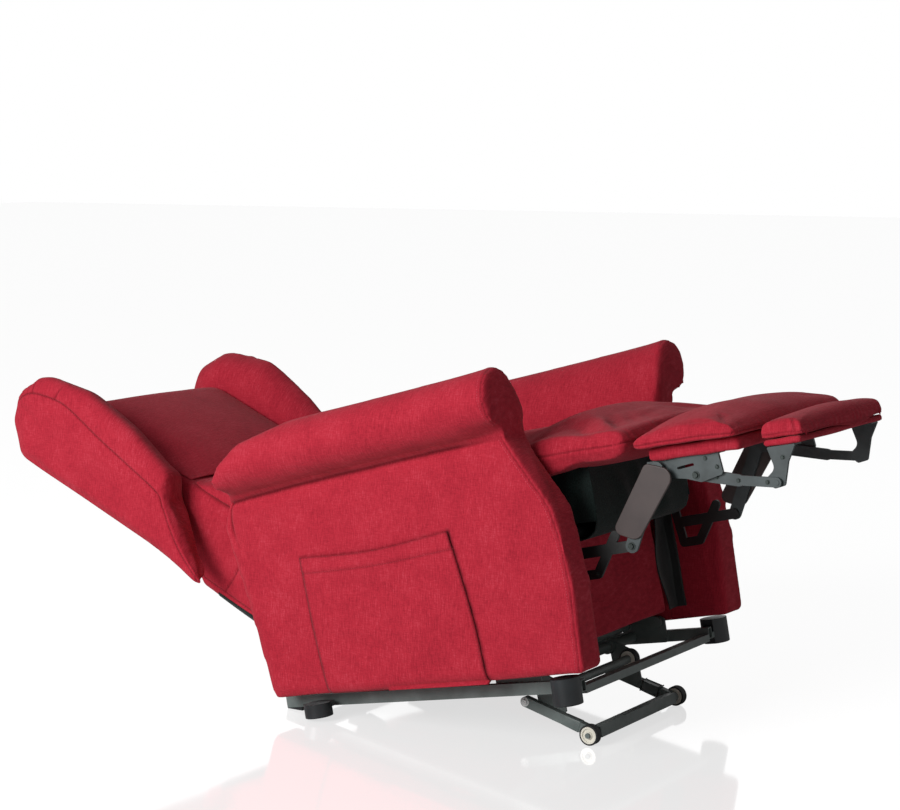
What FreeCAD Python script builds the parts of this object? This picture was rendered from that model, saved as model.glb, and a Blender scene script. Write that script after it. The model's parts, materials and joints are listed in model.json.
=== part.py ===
import FreeCAD, Part
import math
import os

# Lift recliner chair, in millimetres. X is the width, the chair faces -Y, +Z is up.
# The chair stands as photographed: base tilted back on its front rollers, back reclined, footrest out.
# Steel under the chair is drawn in the base's own level frame, everything above in the chair's level frame.

base_tilt = 10.35
chair_tilt = 11.6
base_height = 36.0

# Running fits and gaps
pin_fit = 0.05
soft_gap = 0.4
open_pivot_gap = 3.0
drive_eye_gap = 6.5

# Base frame
rail_inner_x = 255.0
rail_width = 15.0
rail_low_z = 14.5
rail_high_z = 38.0
rail_front_y = -428.0
rail_rear_y = 272.0
tube_wall = 2.0
cross_tube_depth = 22.0
front_tube_low_z = 10.0
front_tube_high_z = 25.0
rear_tube_y = 195.0
rear_tube_low_z = 14.5
rear_tube_high_z = 36.5
foot_x = 306.0
foot_radius = 28.0
foot_front_y = -416.5
foot_rear_y = 165.5
foot_front_height = 51.0
foot_rear_height = 28.0
foot_flat_x = 280.0
glide_length = 36.0
power_box_x = (60.0, 170.0)
power_box_depth = 75.0
power_box_high_z = 54.0
inlet_depth = 12.0
inlet_height = 21.0
inlet_length = 28.0
inlet_wall = 2.0

# Roller frame
roller_pivot = (-250.0, 30.0)
pivot_tube_radius = 11.0
roller_radius = 20.0
roller_width = 17.0
roller_bore = 5.0
roller_side_gap = 1.0
rear_axle_tube_radius = 9.0
hub_radius = 16.5
front_axle = (-374.0, -84.2)
rear_axle = (-300.0, 4.0)
roller_arm_end = (-232.0, -17.0)
hanger_outline = [(-255.0, -38.0), (-251.0, 24.0), (-254.0, 42.0), (-268.0, 38.0), (-312.0, 14.0),
                  (-314.0, -42.0), (-300.0, -52.0)]
roller_arm_inner_x = 154.0
roller_arm_thickness = 14.0
roller_arm_height = 20.0
hanger_thickness = 4.0
axle_tube_size = 22.0

# Lift linkage: the first pair is in the base's frame, the second in the chair's
rear_link_base = (-244.0, 57.0)
front_link_base = (-320.0, 60.0)
rear_link_chair = (156.0, 150.0)
front_link_chair = (-144.0, 135.0)
link_pin_radius = 5.0
link_width = 22.0
link_thickness = 6.0
link_gap = 3.0
rear_link_x = 243.0
front_link_x = 236.0
bracket_x = 250.0
lift_tube_radius = 11.0

# Linear drives: their fixed ends and their driven ends
drive_pin_radius = 5.0
drive_tube_radius = 15.0
drive_rod_radius = 7.0
drive_motor_radius = 21.0
drive_motor_length = 48.0
drive_motor_place = 38.0
drive_gearbox_half = 19.0
drive_gearbox_span = (14.0, 62.0)
drive_eye_width = 8.0
drive_eye_radius = 11.0
drive_rod_overlap = 90.0
lift_drive_x = -110.0
lift_drive_base = (205.0, 52.0)
lift_lever_end = (50.0, 43.0)
recline_drive_x = 110.0
recline_drive_seat = (-310.0, 190.0)
recline_lever_length = 60.0
footrest_drive_seat = (-60.0, 355.0)
footrest_lever_length = 60.0

# Chair sides
arm_inner_x = 256.0
arm_outer_x = 336.0
arm_low_z = 83.0
roll_centre_x = 341.0
roll_centre_z = 607.0
roll_radius = 59.0
roll_slope = -0.068
roll_front_y = -414.0
seam_z = 530.0
chair_plate_z = (108.0, 186.0)
chair_plate_y = (-236.0, 205.0)
chair_tube_radius = 10.0
chair_front_tube = (-215.0, 163.0)
chair_rear_tube = (40.0, 173.0)
slide_rail_z = (372.0, 398.0)
slide_rail_y = (-330.0, 150.0)
slide_rail_depth = 10.0
slide_wall = 3.0
slide_gap = 1.0
arm_frame_inset = 22.0
arm_frame_thickness = 22.0
arm_frame_front_post = (-418.0, -373.0)
arm_frame_rear_post = (190.0, 232.0)
arm_frame_z = (100.0, 470.0)
arm_frame_top_rail = 40.0
arm_frame_low_rail = 50.0
pocket_depth = 13.0
pocket_wall = 2.5

# Seat carriage
seat_pivot = (-10.0, 300.0)
carriage_plate_x = 231.0
carriage_plate_thickness = 6.0
seat_frame_y = (-376.0, 60.0)
seat_frame_z = (405.0, 440.0)
seat_frame_bar = 42.0
webbing_thickness = 3.0
webbing_width = 46.0
webbing_count = 5
seat_front_y = -600.0
seat_rear_y = 86.0
seat_half_width = 250.0
seat_edge_z = 516.0
seat_crown = 10.0
seat_nose_low_z = 455.0
panel_y = -378.0
panel_thickness = 12.0
panel_half_width = 200.0
panel_z = (113.0, 318.0)
stile_x = (140.0, 165.0)
stile_depth = 16.0
gusset_thickness = 3.0
gusset_z = (115.0, 308.0)
gusset_fold = 20.0
apron_thickness = 2.0
apron_slot = (20.0, 362.0, 400.0)
valance_half_width = 190.0
valance_line = [(panel_y, 314.0), (-440.0, 314.0), (-468.0, 324.0), (-480.0, 345.0),
                (-480.0, 453.0)]

# Backrest, in the back's own frame: along it from its lower outer corner, and out from its rear face
back_angle = 35.5
back_corner = (386.0, 334.0)
back_half_width = 240.0
back_low = -250.0
back_high = 566.0
back_depth = 130.0
back_rear_bulge = 42.0
lumbar_along = (-130.0, 166.0)
lumbar_depth = 86.0
upper_along = (168.0, 572.0)
upper_depth = 20.0
wing_inner_x = 241.1
wing_outer_x = 332.0
frame_bar_x = (202.0, 222.0)
frame_bar_out = (40.0, 80.0)
frame_bar_low = -330.0
frame_bar_high = 520.0
back_cross_bars = (-220.0, 120.0, 480.0)
back_cross_bar_width = 40.0
back_bracket_thickness = 6.0
back_pin_radius = 6.0
back_tube_radius = 12.0

# Footrest linkage, in the chair's frame
swing_pivot = (-430.0, 330.0)
swing_end = (-562.0, 295.0)
swing_high_rear = (-437.0, 291.0)
swing_low_rear = (-440.0, 249.0)
swing_low_front = (-477.0, 250.0)
swing_riser_end = (-526.0, 318.0)
swing_upper_width = 21.0
swing_lower_width = 18.0
carry_end = (-640.0, 430.0)
flipper_arm_start = (-711.0, 408.0)
flipper_arm_end = (-863.0, 375.0)
plate_thickness = 6.0
thin_plate = 5.5
cover_thickness = 4.5
plate_gap = 0.5
bracket_gap = 1.0
swing_plate_x = 207.0
carry_link_x = swing_plate_x + plate_thickness + plate_gap
cover_x = carry_link_x + thin_plate + plate_gap
calf_bracket_x = swing_plate_x - bracket_gap - plate_thickness
flipper_arm_x = calf_bracket_x - bracket_gap - plate_thickness
flipper_bracket_x = flipper_arm_x - bracket_gap - plate_thickness
rivet_radius = 5.0
footrest_tube_radius = 11.0
calf_half_width = 250.0
calf_along = (-822.0, -606.0)
calf_board_along = (-812.0, -626.0)
calf_board_z = (444.0, 468.0)
flipper_half_width = 195.0
flipper_along = (-926.0, -838.0)
flipper_board_z = (439.0, 452.0)
flipper_arm_knee = (-790.0, 388.0)
flipper_top_z = 490.0


def place(shape, tilt, lift):
    moved = shape.copy()
    moved.rotate(FreeCAD.Vector(0, 0, 0), FreeCAD.Vector(1, 0, 0), -tilt)
    moved.translate(FreeCAD.Vector(0, 0, lift))
    return moved


def in_base(shape):
    return place(shape, base_tilt, base_height)


def in_chair(shape):
    return place(shape, chair_tilt, 0.0)


def in_back(shape):
    moved = shape.copy()
    moved.rotate(FreeCAD.Vector(0, 0, 0), FreeCAD.Vector(1, 0, 0), back_angle)
    moved.translate(FreeCAD.Vector(0, back_corner[0], back_corner[1]))
    return in_chair(moved)


def turned(point, degrees):
    angle = math.radians(degrees)
    y = point[0] * math.cos(angle) - point[1] * math.sin(angle)
    z = point[0] * math.sin(angle) + point[1] * math.cos(angle)
    return (y, z)


def base_point(point):
    y, z = turned(point, -base_tilt)
    return (y, z + base_height)


def chair_point(point):
    return turned(point, -chair_tilt)


def base_from_chair(point):
    y, z = chair_point(point)
    return turned((y, z - base_height), base_tilt)


def back_from_chair(point):
    return turned((point[0] - back_corner[0], point[1] - back_corner[1]), -back_angle)


def box(x_range, y_range, z_range):
    size = (x_range[1] - x_range[0], y_range[1] - y_range[0], z_range[1] - z_range[0])
    corner = FreeCAD.Vector(x_range[0], y_range[0], z_range[0])
    return Part.makeBox(size[0], size[1], size[2], corner)


def rod(x_range, point, radius):
    start = FreeCAD.Vector(x_range[0], point[0], point[1])
    return Part.makeCylinder(radius, x_range[1] - x_range[0], start, FreeCAD.Vector(1, 0, 0))


def mirrored(shape):
    return shape.mirror(FreeCAD.Vector(0, 0, 0), FreeCAD.Vector(1, 0, 0))


def both_sides(shape):
    return [shape, mirrored(shape)]


def rounded_wire(points, radii, x):
    """A closed outline in the plane of one x, with each corner rounded by its own radius."""
    count = len(points)
    edges = []
    entries = []
    exits = []
    middles = []
    for i in range(count):
        before = FreeCAD.Vector(x, points[i - 1][0], points[i - 1][1])
        corner = FreeCAD.Vector(x, points[i][0], points[i][1])
        after = FreeCAD.Vector(x, points[(i + 1) % count][0], points[(i + 1) % count][1])
        to_before = (before - corner).normalize()
        to_after = (after - corner).normalize()
        half = to_before.getAngle(to_after) / 2.0
        setback = radii[i] / math.tan(half)
        middle_way = (to_before + to_after).normalize()
        centre = corner + middle_way * (radii[i] / math.sin(half))
        entries.append(corner + to_before * setback)
        exits.append(corner + to_after * setback)
        middles.append(centre - middle_way * radii[i])
    for i in range(count):
        edges.append(Part.Arc(entries[i], middles[i], exits[i]).toShape())
        following = entries[(i + 1) % count]
        if (following - exits[i]).Length > 0.001:
            edges.append(Part.LineSegment(exits[i], following).toShape())
    return Part.Wire(edges)


def plate(points, x_range, radius=3.0, holes=()):
    """A flat plate with rounded corners, and round holes given as (point, radius)."""
    radii = radius if isinstance(radius, (list, tuple)) else [radius] * len(points)
    face = Part.Face(rounded_wire(points, radii, x_range[0]))
    solid = face.extrude(FreeCAD.Vector(x_range[1] - x_range[0], 0, 0))
    for point, hole_radius in holes:
        solid = solid.cut(rod((x_range[0] - 1, x_range[1] + 1), point, hole_radius))
    return solid


def bar(start, end, width, x_range):
    """A flat link with round ends centred on its two points."""
    dy = end[0] - start[0]
    dz = end[1] - start[1]
    length = math.hypot(dy, dz)
    half = width / 2.0
    wire_points = [(0, -half), (length, -half), (length + half, 0), (length, half), (0, half), (-half, 0)]
    vectors = [FreeCAD.Vector(x_range[0], p[0], p[1]) for p in wire_points]
    edges = [
        Part.LineSegment(vectors[0], vectors[1]).toShape(),
        Part.Arc(vectors[1], vectors[2], vectors[3]).toShape(),
        Part.LineSegment(vectors[3], vectors[4]).toShape(),
        Part.Arc(vectors[4], vectors[5], vectors[0]).toShape(),
    ]
    solid = Part.Face(Part.Wire(edges)).extrude(FreeCAD.Vector(x_range[1] - x_range[0], 0, 0))
    angle = math.degrees(math.atan2(dz, dy))
    solid.rotate(FreeCAD.Vector(0, 0, 0), FreeCAD.Vector(1, 0, 0), angle)
    solid.translate(FreeCAD.Vector(0, start[0], start[1]))
    return solid


def drilled(solid, x_range, holes):
    for point, radius in holes:
        solid = solid.cut(rod((x_range[0] - 1, x_range[1] + 1), point, radius))
    return solid


def square_tube(x_range, y_range, z_range, wall):
    outer = box(x_range, y_range, z_range)
    inner_x = (x_range[0] - 1, x_range[1] + 1)
    inner = box(inner_x, (y_range[0] + wall, y_range[1] - wall), (z_range[0] + wall, z_range[1] - wall))
    return outer.cut(inner)


def round_tube(x_range, point, radius, wall):
    inner = rod((x_range[0] - 1, x_range[1] + 1), point, radius - wall)
    return rod(x_range, point, radius).cut(inner)


def cushion_section(y, half, low, edge, crown, bulge):
    """One closed cross-section of a cushion: flat below, drawn-in sides, crowned above."""
    left_low = FreeCAD.Vector(-half + bulge, y, low)
    right_low = FreeCAD.Vector(half - bulge, y, low)
    right_out = FreeCAD.Vector(half, y, (low + edge) / 2.0)
    right_top = FreeCAD.Vector(half - bulge, y, edge)
    top = FreeCAD.Vector(0, y, edge + crown)
    left_top = FreeCAD.Vector(-half + bulge, y, edge)
    left_out = FreeCAD.Vector(-half, y, (low + edge) / 2.0)
    edges = [
        Part.LineSegment(left_low, right_low).toShape(),
        Part.Arc(right_low, right_out, right_top).toShape(),
        Part.Arc(right_top, top, left_top).toShape(),
        Part.Arc(left_top, left_out, left_low).toShape(),
    ]
    return Part.Wire(edges)


def cushion(stations, floor, floor_from=-1000.0):
    """A lofted cushion, cut flat where it lies on what carries it."""
    solid = Part.makeLoft([cushion_section(*station) for station in stations], True, False)
    return solid.cut(box((-400, 400), (floor_from, 1000), (floor - 200, floor)))


def foot(y, height):
    solid = Part.makeCylinder(foot_radius, height, FreeCAD.Vector(foot_x, y, 0))
    solid = solid.cut(box((0, foot_flat_x), (y - 50, y + 50), (-1, height + 1)))
    rim = solid.Edges
    low_edges = [e for e in rim if e.BoundBox.ZMax < 0.01]
    return solid.makeFillet(2.0, low_edges)


def feet():
    shapes = both_sides(foot(foot_front_y, foot_front_height))
    shapes += both_sides(foot(foot_rear_y, foot_rear_height))
    return [in_base(shape) for shape in shapes]


def base_rails():
    outer_x = rail_inner_x + rail_width
    outer = box((rail_inner_x, outer_x), (rail_front_y, rail_rear_y), (rail_low_z, rail_high_z))
    inner = box((rail_inner_x + tube_wall, outer_x - tube_wall), (rail_front_y - 1, rail_rear_y + 1),
                (rail_low_z + tube_wall, rail_high_z - tube_wall))
    rail = outer.cut(inner)
    half = foot_radius * 0.5
    for foot_y in (foot_front_y, foot_rear_y):
        low_y = max(foot_y - half, rail_front_y)
        lug = box((outer_x, foot_flat_x), (low_y, foot_y + half), (rail_low_z, foot_rear_height - 2))
        rail = rail.fuse(lug)
    return [in_base(shape) for shape in both_sides(rail.removeSplitter())]


def front_cross_tube():
    y_range = (rail_front_y, rail_front_y + cross_tube_depth)
    z_range = (front_tube_low_z, front_tube_high_z)
    tube = square_tube((-rail_inner_x, rail_inner_x), y_range, z_range, tube_wall)
    return [in_base(tube)]


def cross_tubes():
    y_range = (rear_tube_y, rear_tube_y + cross_tube_depth)
    z_range = (rear_tube_low_z, rear_tube_high_z)
    rear = square_tube((-rail_inner_x, rail_inner_x), y_range, z_range, tube_wall)
    pivot = round_tube((-bracket_x, bracket_x), roller_pivot, pivot_tube_radius, tube_wall)
    lug_height = lift_drive_base[1] + 8.0
    lug_y = (rear_tube_y, rear_tube_y + cross_tube_depth)
    lugs = [rear, pivot]
    for side in (-1, 1):
        inner = lift_drive_x + side * (drive_tube_radius * 0.6 + 1.0)
        outer = inner + side * 5.0
        lug = box((min(inner, outer), max(inner, outer)), lug_y, (rear_tube_high_z, lug_height))
        lugs.append(drilled(lug, (inner - 8, outer + 8), [(lift_drive_base, drive_pin_radius)]))
    pin_half = drive_tube_radius * 0.6 + 6.0
    lugs.append(rod((lift_drive_x - pin_half, lift_drive_x + pin_half), lift_drive_base, drive_pin_radius))
    return [in_base(shape) for shape in lugs]


def lift_brackets():
    low = rail_low_z
    high = front_link_base[1] + 10.0
    front = front_link_base[0] - 12.0
    rear = rear_link_base[0] + 14.0
    outline = [(front, low), (rear, low), (rear, high - 4.0), (rear - 12.0, high), (front + 10.0, high),
               (front, high - 6.0)]
    side = plate(outline, (bracket_x, rail_inner_x), 4.0)
    for point, inner_x in ((rear_link_base, rear_link_x), (front_link_base, front_link_x)):
        side = side.fuse(rod((inner_x + 0.5, rail_inner_x), point, link_pin_radius))
    return [in_base(shape) for shape in both_sides(side)]


def rear_glides():
    """Skids under the rails' rear ends, cut to lie on the floor while the chair is tilted back."""
    inset = 1.0
    x_range = (rail_inner_x + inset, rail_inner_x + rail_width - inset)
    block = in_base(box(x_range, (rail_rear_y - glide_length, rail_rear_y), (0.0, rail_low_z)))
    below = Part.makeBox(2000, 2000, 100, FreeCAD.Vector(-1000, -1000, -100))
    return both_sides(block.cut(below))


def power_box():
    y_range = (rear_tube_y - power_box_depth, rear_tube_y)
    case = box(power_box_x, y_range, (rear_tube_low_z, power_box_high_z))
    return [in_base(case.makeFillet(3.0, case.Edges))]


def mains_inlet():
    centre_y = rear_tube_y - power_box_depth / 2.0
    centre_z = (rear_tube_low_z + power_box_high_z) / 2.0
    face_x = power_box_x[1]
    half_y = inlet_length / 2.0
    half_z = inlet_height / 2.0
    y_range = (centre_y - half_y, centre_y + half_y)
    z_range = (centre_z - half_z, centre_z + half_z)
    body = box((face_x, face_x + inlet_depth), y_range, z_range)
    mouth_y = (y_range[0] + inlet_wall, y_range[1] - inlet_wall)
    mouth_z = (z_range[0] + inlet_wall, z_range[1] - inlet_wall)
    mouth = box((face_x + inlet_wall, face_x + inlet_depth + 1), mouth_y, mouth_z)
    return [in_base(body.cut(mouth))]


def roller_arms():
    arm_x = (roller_arm_inner_x, roller_arm_inner_x + roller_arm_thickness)
    hanger_x = (roller_arm_inner_x - hanger_thickness, roller_arm_inner_x)
    arm = bar(roller_arm_end, front_axle, roller_arm_height, arm_x)
    hanger = plate(hanger_outline, hanger_x, 1.5).fuse(rod(hanger_x, roller_pivot, pivot_tube_radius + 4.0))
    hanger = drilled(hanger, hanger_x, [(roller_pivot, pivot_tube_radius + pin_fit)])
    sleeve_x = (hanger_x[0] - 10.0, hanger_x[1] + 10.0)
    sleeve = rod(sleeve_x, roller_pivot, pivot_tube_radius + 4.0)
    sleeve = sleeve.cut(rod((sleeve_x[0] - 1, sleeve_x[1] + 1), roller_pivot, pivot_tube_radius + pin_fit))
    stub_x = (arm_x[1], arm_x[1] + roller_width + 2 * roller_side_gap + 3.0)
    stub = rod(stub_x, front_axle, roller_bore - pin_fit)
    rear_stub_x = (hanger_x[0] - roller_width - 2 * roller_side_gap, hanger_x[0])
    rear_stub = rod(rear_stub_x, rear_axle, roller_bore - pin_fit)
    solid = arm.fuse([hanger, sleeve, stub, rear_stub])
    return [in_base(shape) for shape in both_sides(solid.removeSplitter())]


def roller_axle_tube():
    half = axle_tube_size / 2.0
    x_range = (-roller_arm_inner_x, roller_arm_inner_x)
    tube = square_tube(x_range, (front_axle[0] - half, front_axle[0] + half),
                       (front_axle[1] - half, front_axle[1] + half), tube_wall)
    return [in_base(tube)]


def roller_rear_tube():
    end = roller_arm_inner_x - hanger_thickness - roller_width - 2 * roller_side_gap
    return [in_base(rod((-end, end), rear_axle, rear_axle_tube_radius))]


def roller_span(is_front):
    if is_front:
        start = roller_arm_inner_x + roller_arm_thickness + roller_side_gap
        return (start, start + roller_width)
    end = roller_arm_inner_x - hanger_thickness - roller_side_gap
    return (end - roller_width, end)


def roller_tyre(side, is_front):
    span = roller_span(is_front)
    point = front_axle if is_front else rear_axle
    tyre = rod(span, point, roller_radius)
    tyre = tyre.makeFillet(1.5, [e for e in tyre.Edges if e.Closed])
    tyre = tyre.cut(rod((span[0] - 1, span[1] + 1), point, hub_radius))
    return [in_base(tyre if side > 0 else mirrored(tyre))]


def roller_hub(side, is_front):
    span = roller_span(is_front)
    point = front_axle if is_front else rear_axle
    hub = rod(span, point, hub_radius)
    dish = rod((span[1] - 2.0, span[1] + 1), point, hub_radius - 3.5)
    dish = dish.cut(rod((span[1] - 3.0, span[1] + 2), point, 7.5))
    hub = hub.cut(dish)
    hub = hub.cut(rod((span[0] - 1, span[1] + 1), point, roller_bore))
    return [in_base(hub if side > 0 else mirrored(hub))]


def lift_lever_point():
    return (rear_link_base[0] + lift_lever_end[0], rear_link_base[1] + lift_lever_end[1])


def clevis_plates(x_centre, root, pin, root_radius, pin_radius):
    """Two ears with a pin between them, standing on a cross tube."""
    solids = []
    for side in (-1, 1):
        inner = x_centre + side * (drive_rod_radius + 4.0)
        outer = inner + side * 5.0
        x_range = (min(inner, outer), max(inner, outer))
        ear = bar(root, pin, 20.0, x_range)
        ear = ear.cut(rod((x_range[0] - 1, x_range[1] + 1), root, root_radius))
        solids.append(ear)
    across = (x_centre - drive_rod_radius - 9.0, x_centre + drive_rod_radius + 9.0)
    joined = solids[0].fuse([solids[1], rod(across, pin, pin_radius)])
    return joined


def lift_lever():
    """Two bent ears on the torque tube, with the pin that the lift drive pushes."""
    root_y, root_z = rear_link_base
    pin = lift_lever_point()
    outline = [(root_y - 14.0, root_z - 12.0), (root_y - 14.0, root_z + 12.0),
               (root_y + 26.0, root_z + 15.0),
               (pin[0] - 9.0, pin[1] + 6.0), (pin[0] + 2.0, pin[1] + 12.0), (pin[0] + 10.0, pin[1] - 4.0),
               (pin[0] - 4.0, root_z - 2.0), (root_y + 20.0, root_z - 12.0)]
    solids = []
    for side in (-1, 1):
        inner = lift_drive_x + side * (drive_rod_radius + 4.0)
        x_range = sorted((inner, inner + side * 5.0))
        solids.append(plate(outline, x_range, 5.0, [(rear_link_base, lift_tube_radius)]))
    half = drive_rod_radius + 9.0
    pin_solid = rod((lift_drive_x - half, lift_drive_x + half), pin, drive_pin_radius)
    return solids[0].fuse([solids[1], pin_solid])


def lift_links():
    x_range = (rear_link_x, rear_link_x + link_thickness)
    end = base_from_chair(rear_link_chair)
    holes = [(rear_link_base, link_pin_radius + pin_fit), (end, link_pin_radius + pin_fit)]
    link = drilled(bar(rear_link_base, end, link_width, x_range), x_range, holes)
    tube_end = front_link_x - link_gap
    tube = rod((-tube_end, tube_end), rear_link_base, lift_tube_radius)
    necks = rod((-rear_link_x, rear_link_x), rear_link_base, link_pin_radius + 1.5)
    return [in_base(shape) for shape in both_sides(link) + [tube.fuse(necks).removeSplitter(), lift_lever()]]


def front_links():
    x_range = (front_link_x, front_link_x + link_thickness)
    end = base_from_chair(front_link_chair)
    holes = [(front_link_base, link_pin_radius + pin_fit), (end, link_pin_radius + open_pivot_gap)]
    link = drilled(bar(front_link_base, end, link_width, x_range), x_range, holes)
    return [in_base(shape) for shape in both_sides(link)]


def drive_parts(x_centre, fixed, driven, motor_side, tube_length):
    """The housing and the rod of a linear drive lying from its fixed pin to its driven pin."""
    dy = driven[0] - fixed[0]
    dz = driven[1] - fixed[1]
    length = math.hypot(dy, dz)
    ahead = FreeCAD.Vector(0, 1, 0)
    across = (x_centre - drive_eye_width, x_centre + drive_eye_width)
    half = drive_gearbox_half
    tail = rod(across, (0, 0), drive_eye_radius)
    gearbox = box((x_centre - half, x_centre + half), drive_gearbox_span, (-half, half))
    gearbox = gearbox.makeFillet(4.0, gearbox.Edges)
    neck = box(across, (8.0, drive_gearbox_span[0] + 4.0), (-9.0, 9.0))
    tube_start = drive_gearbox_span[1] - 12.0
    tube_foot = FreeCAD.Vector(x_centre, tube_start, 0)
    tube = Part.makeCylinder(drive_tube_radius, tube_length - tube_start, tube_foot, ahead)
    motor_z = half * motor_side
    motor_foot = FreeCAD.Vector(x_centre, drive_motor_place, motor_z)
    motor_way = FreeCAD.Vector(0, 0, motor_side)
    motor = Part.makeCylinder(drive_motor_radius, drive_motor_length, motor_foot, motor_way)
    far_z = motor_z + drive_motor_length * motor_side
    far_rim = [e for e in motor.Edges if e.Closed and abs(e.CenterOfMass.z - far_z) < 0.1]
    motor = motor.makeFillet(4.0, far_rim)
    bore_start = drive_gearbox_span[1] + 2.0
    bore_foot = FreeCAD.Vector(x_centre, bore_start, 0)
    bore = Part.makeCylinder(drive_rod_radius + pin_fit, tube_length, bore_foot, ahead)
    housing = tail.fuse([neck, gearbox, tube, motor]).cut(bore)
    housing = housing.cut(rod((x_centre - 30, x_centre + 30), (0, 0), drive_pin_radius + pin_fit))
    rod_start = tube_length - drive_rod_overlap
    rod_foot = FreeCAD.Vector(x_centre, rod_start, 0)
    piston = Part.makeCylinder(drive_rod_radius, length - rod_start - 8.0, rod_foot, ahead)
    eye_hole = drive_pin_radius + drive_eye_gap
    eye_half = drive_rod_radius + 2.0
    eye = rod((x_centre - eye_half, x_centre + eye_half), (length, 0), eye_hole + 4.5)
    stem = piston.fuse(eye)
    stem = stem.cut(rod((x_centre - 20, x_centre + 20), (length, 0), eye_hole))
    angle = math.degrees(math.atan2(dz, dy))
    placed = []
    for shape in (housing, stem):
        shape.rotate(FreeCAD.Vector(0, 0, 0), FreeCAD.Vector(1, 0, 0), angle)
        shape.translate(FreeCAD.Vector(0, fixed[0], fixed[1]))
        placed.append(shape)
    return placed


def lift_drive():
    return drive_parts(lift_drive_x, lift_drive_base, lift_lever_point(), -1, 300.0)


def recline_lever_point():
    return (seat_pivot[0], seat_pivot[1] - recline_lever_length)


def recline_drive():
    return drive_parts(recline_drive_x, recline_drive_seat, recline_lever_point(), 1, 235.0)


def footrest_lever_point():
    return (swing_pivot[0], swing_pivot[1] + footrest_lever_length)


def footrest_drive():
    return drive_parts(0.0, footrest_drive_seat, footrest_lever_point(), 1, 255.0)


def arm_profile():
    """The arm seen from the side, from its front foot round to its rear."""
    return [(-485.0, arm_low_z), (-494.0, 250.0), (-481.0, 385.0), (-424.0, 490.0), (-402.0, 535.0),
            (-416.0, 580.0), (-414.0, 700.0), (-190.0, 700.0), (60.0, 636.0), (190.0, 604.0), (294.0, 520.0),
            (300.0, 436.0), (271.0, 290.0), (245.0, arm_low_z)]


def arm_section():
    """The arm seen from the front: upright panel, inner shoulder and rolled top."""
    diagonal = roll_radius * math.sqrt(0.5)
    inner_bottom = FreeCAD.Vector(arm_inner_x, 0, arm_low_z - 60)
    inner_top = FreeCAD.Vector(arm_inner_x, 0, 500)
    shoulder = FreeCAD.Vector(264, 0, 592)
    roll_start = FreeCAD.Vector(roll_centre_x - diagonal, 0, roll_centre_z + diagonal)
    roll_top = FreeCAD.Vector(roll_centre_x, 0, roll_centre_z + roll_radius)
    roll_upper = FreeCAD.Vector(roll_centre_x + diagonal, 0, roll_centre_z + diagonal)
    roll_side = FreeCAD.Vector(roll_centre_x + roll_radius, 0, roll_centre_z)
    roll_lower = FreeCAD.Vector(roll_centre_x + diagonal, 0, roll_centre_z - diagonal)
    seam = FreeCAD.Vector(arm_outer_x, 0, seam_z + 16.0)
    outer_bottom = FreeCAD.Vector(arm_outer_x, 0, arm_low_z - 60)
    edges = [
        Part.LineSegment(inner_bottom, inner_top).toShape(),
        Part.Arc(inner_top, shoulder, roll_start).toShape(),
        Part.Arc(roll_start, roll_top, roll_upper).toShape(),
        Part.Arc(roll_upper, roll_side, roll_lower).toShape(),
        Part.LineSegment(roll_lower, seam).toShape(),
        Part.LineSegment(seam, outer_bottom).toShape(),
        Part.LineSegment(outer_bottom, inner_bottom).toShape(),
    ]
    wire = Part.Wire(edges)
    wire.translate(FreeCAD.Vector(0, -500, -roll_slope * (-500 - roll_front_y) * -1.0))
    return wire


def arm_solid():
    radii = [8.0, 60.0, 60.0, 40.0, 12.0, 10.0, 4.0, 60.0, 60.0, 60.0, 30.0, 30.0, 60.0, 8.0]
    side = plate(arm_profile(), (arm_inner_x - 5, roll_centre_x + roll_radius + 5), radii)
    length = 900.0
    front = Part.Face(arm_section()).extrude(FreeCAD.Vector(0, length, length * roll_slope))
    return side.common(front)


def arm_frame_solids():
    """The wooden frame inside an arm: two posts, a top rail and a bottom rail."""
    x_range = (arm_inner_x + arm_frame_inset, arm_inner_x + arm_frame_inset + arm_frame_thickness)
    low, high = arm_frame_z
    between = (arm_frame_front_post[1], arm_frame_rear_post[0])
    front_post = box(x_range, arm_frame_front_post, arm_frame_z)
    rear_post = box(x_range, arm_frame_rear_post, arm_frame_z)
    top_rail = box(x_range, between, (high - arm_frame_top_rail, high))
    low_rail = box(x_range, between, (low, low + arm_frame_low_rail))
    return [front_post, rear_post, top_rail, low_rail]


def arm(side):
    solid = arm_solid()
    for member in arm_frame_solids():
        solid = solid.cut(member)
    return [in_chair(solid if side > 0 else mirrored(solid))]


def arm_frames():
    shapes = []
    for member in arm_frame_solids():
        shapes = shapes + both_sides(member)
    return [in_chair(shape) for shape in shapes]


def side_pocket():
    outline = [(-277.0, 86.0), (99.0, 88.0), (112.0, 360.0), (-244.0, 375.0)]
    inner = [(-270.0, 90.0), (94.0, 92.0), (108.0, 400.0), (-238.0, 400.0)]
    outer_x = -arm_outer_x - pocket_depth
    shell = plate(outline, (outer_x, -arm_outer_x), 4.0)
    room = plate(inner, (outer_x + pocket_wall, -arm_outer_x + 1), 3.0)
    return [in_chair(shell.cut(room))]


def chair_plates():
    x_range = (bracket_x, arm_inner_x)
    y_range = chair_plate_y
    z_range = chair_plate_z
    outline = [(y_range[0], z_range[0]), (y_range[1], z_range[0]), (y_range[1], z_range[1] - 30),
               (y_range[1] - 60, z_range[1]), (y_range[0] + 40, z_range[1]), (y_range[0], z_range[1] - 16)]
    side = plate(outline, x_range, 5.0)
    rear_pin = rod((rear_link_x - 1.0, arm_inner_x), rear_link_chair, link_pin_radius)
    front_pin = rod((front_link_x - 1.0, arm_inner_x), front_link_chair, link_pin_radius)
    side = side.fuse([rear_pin, front_pin])
    return [in_chair(shape) for shape in both_sides(side)]


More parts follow.
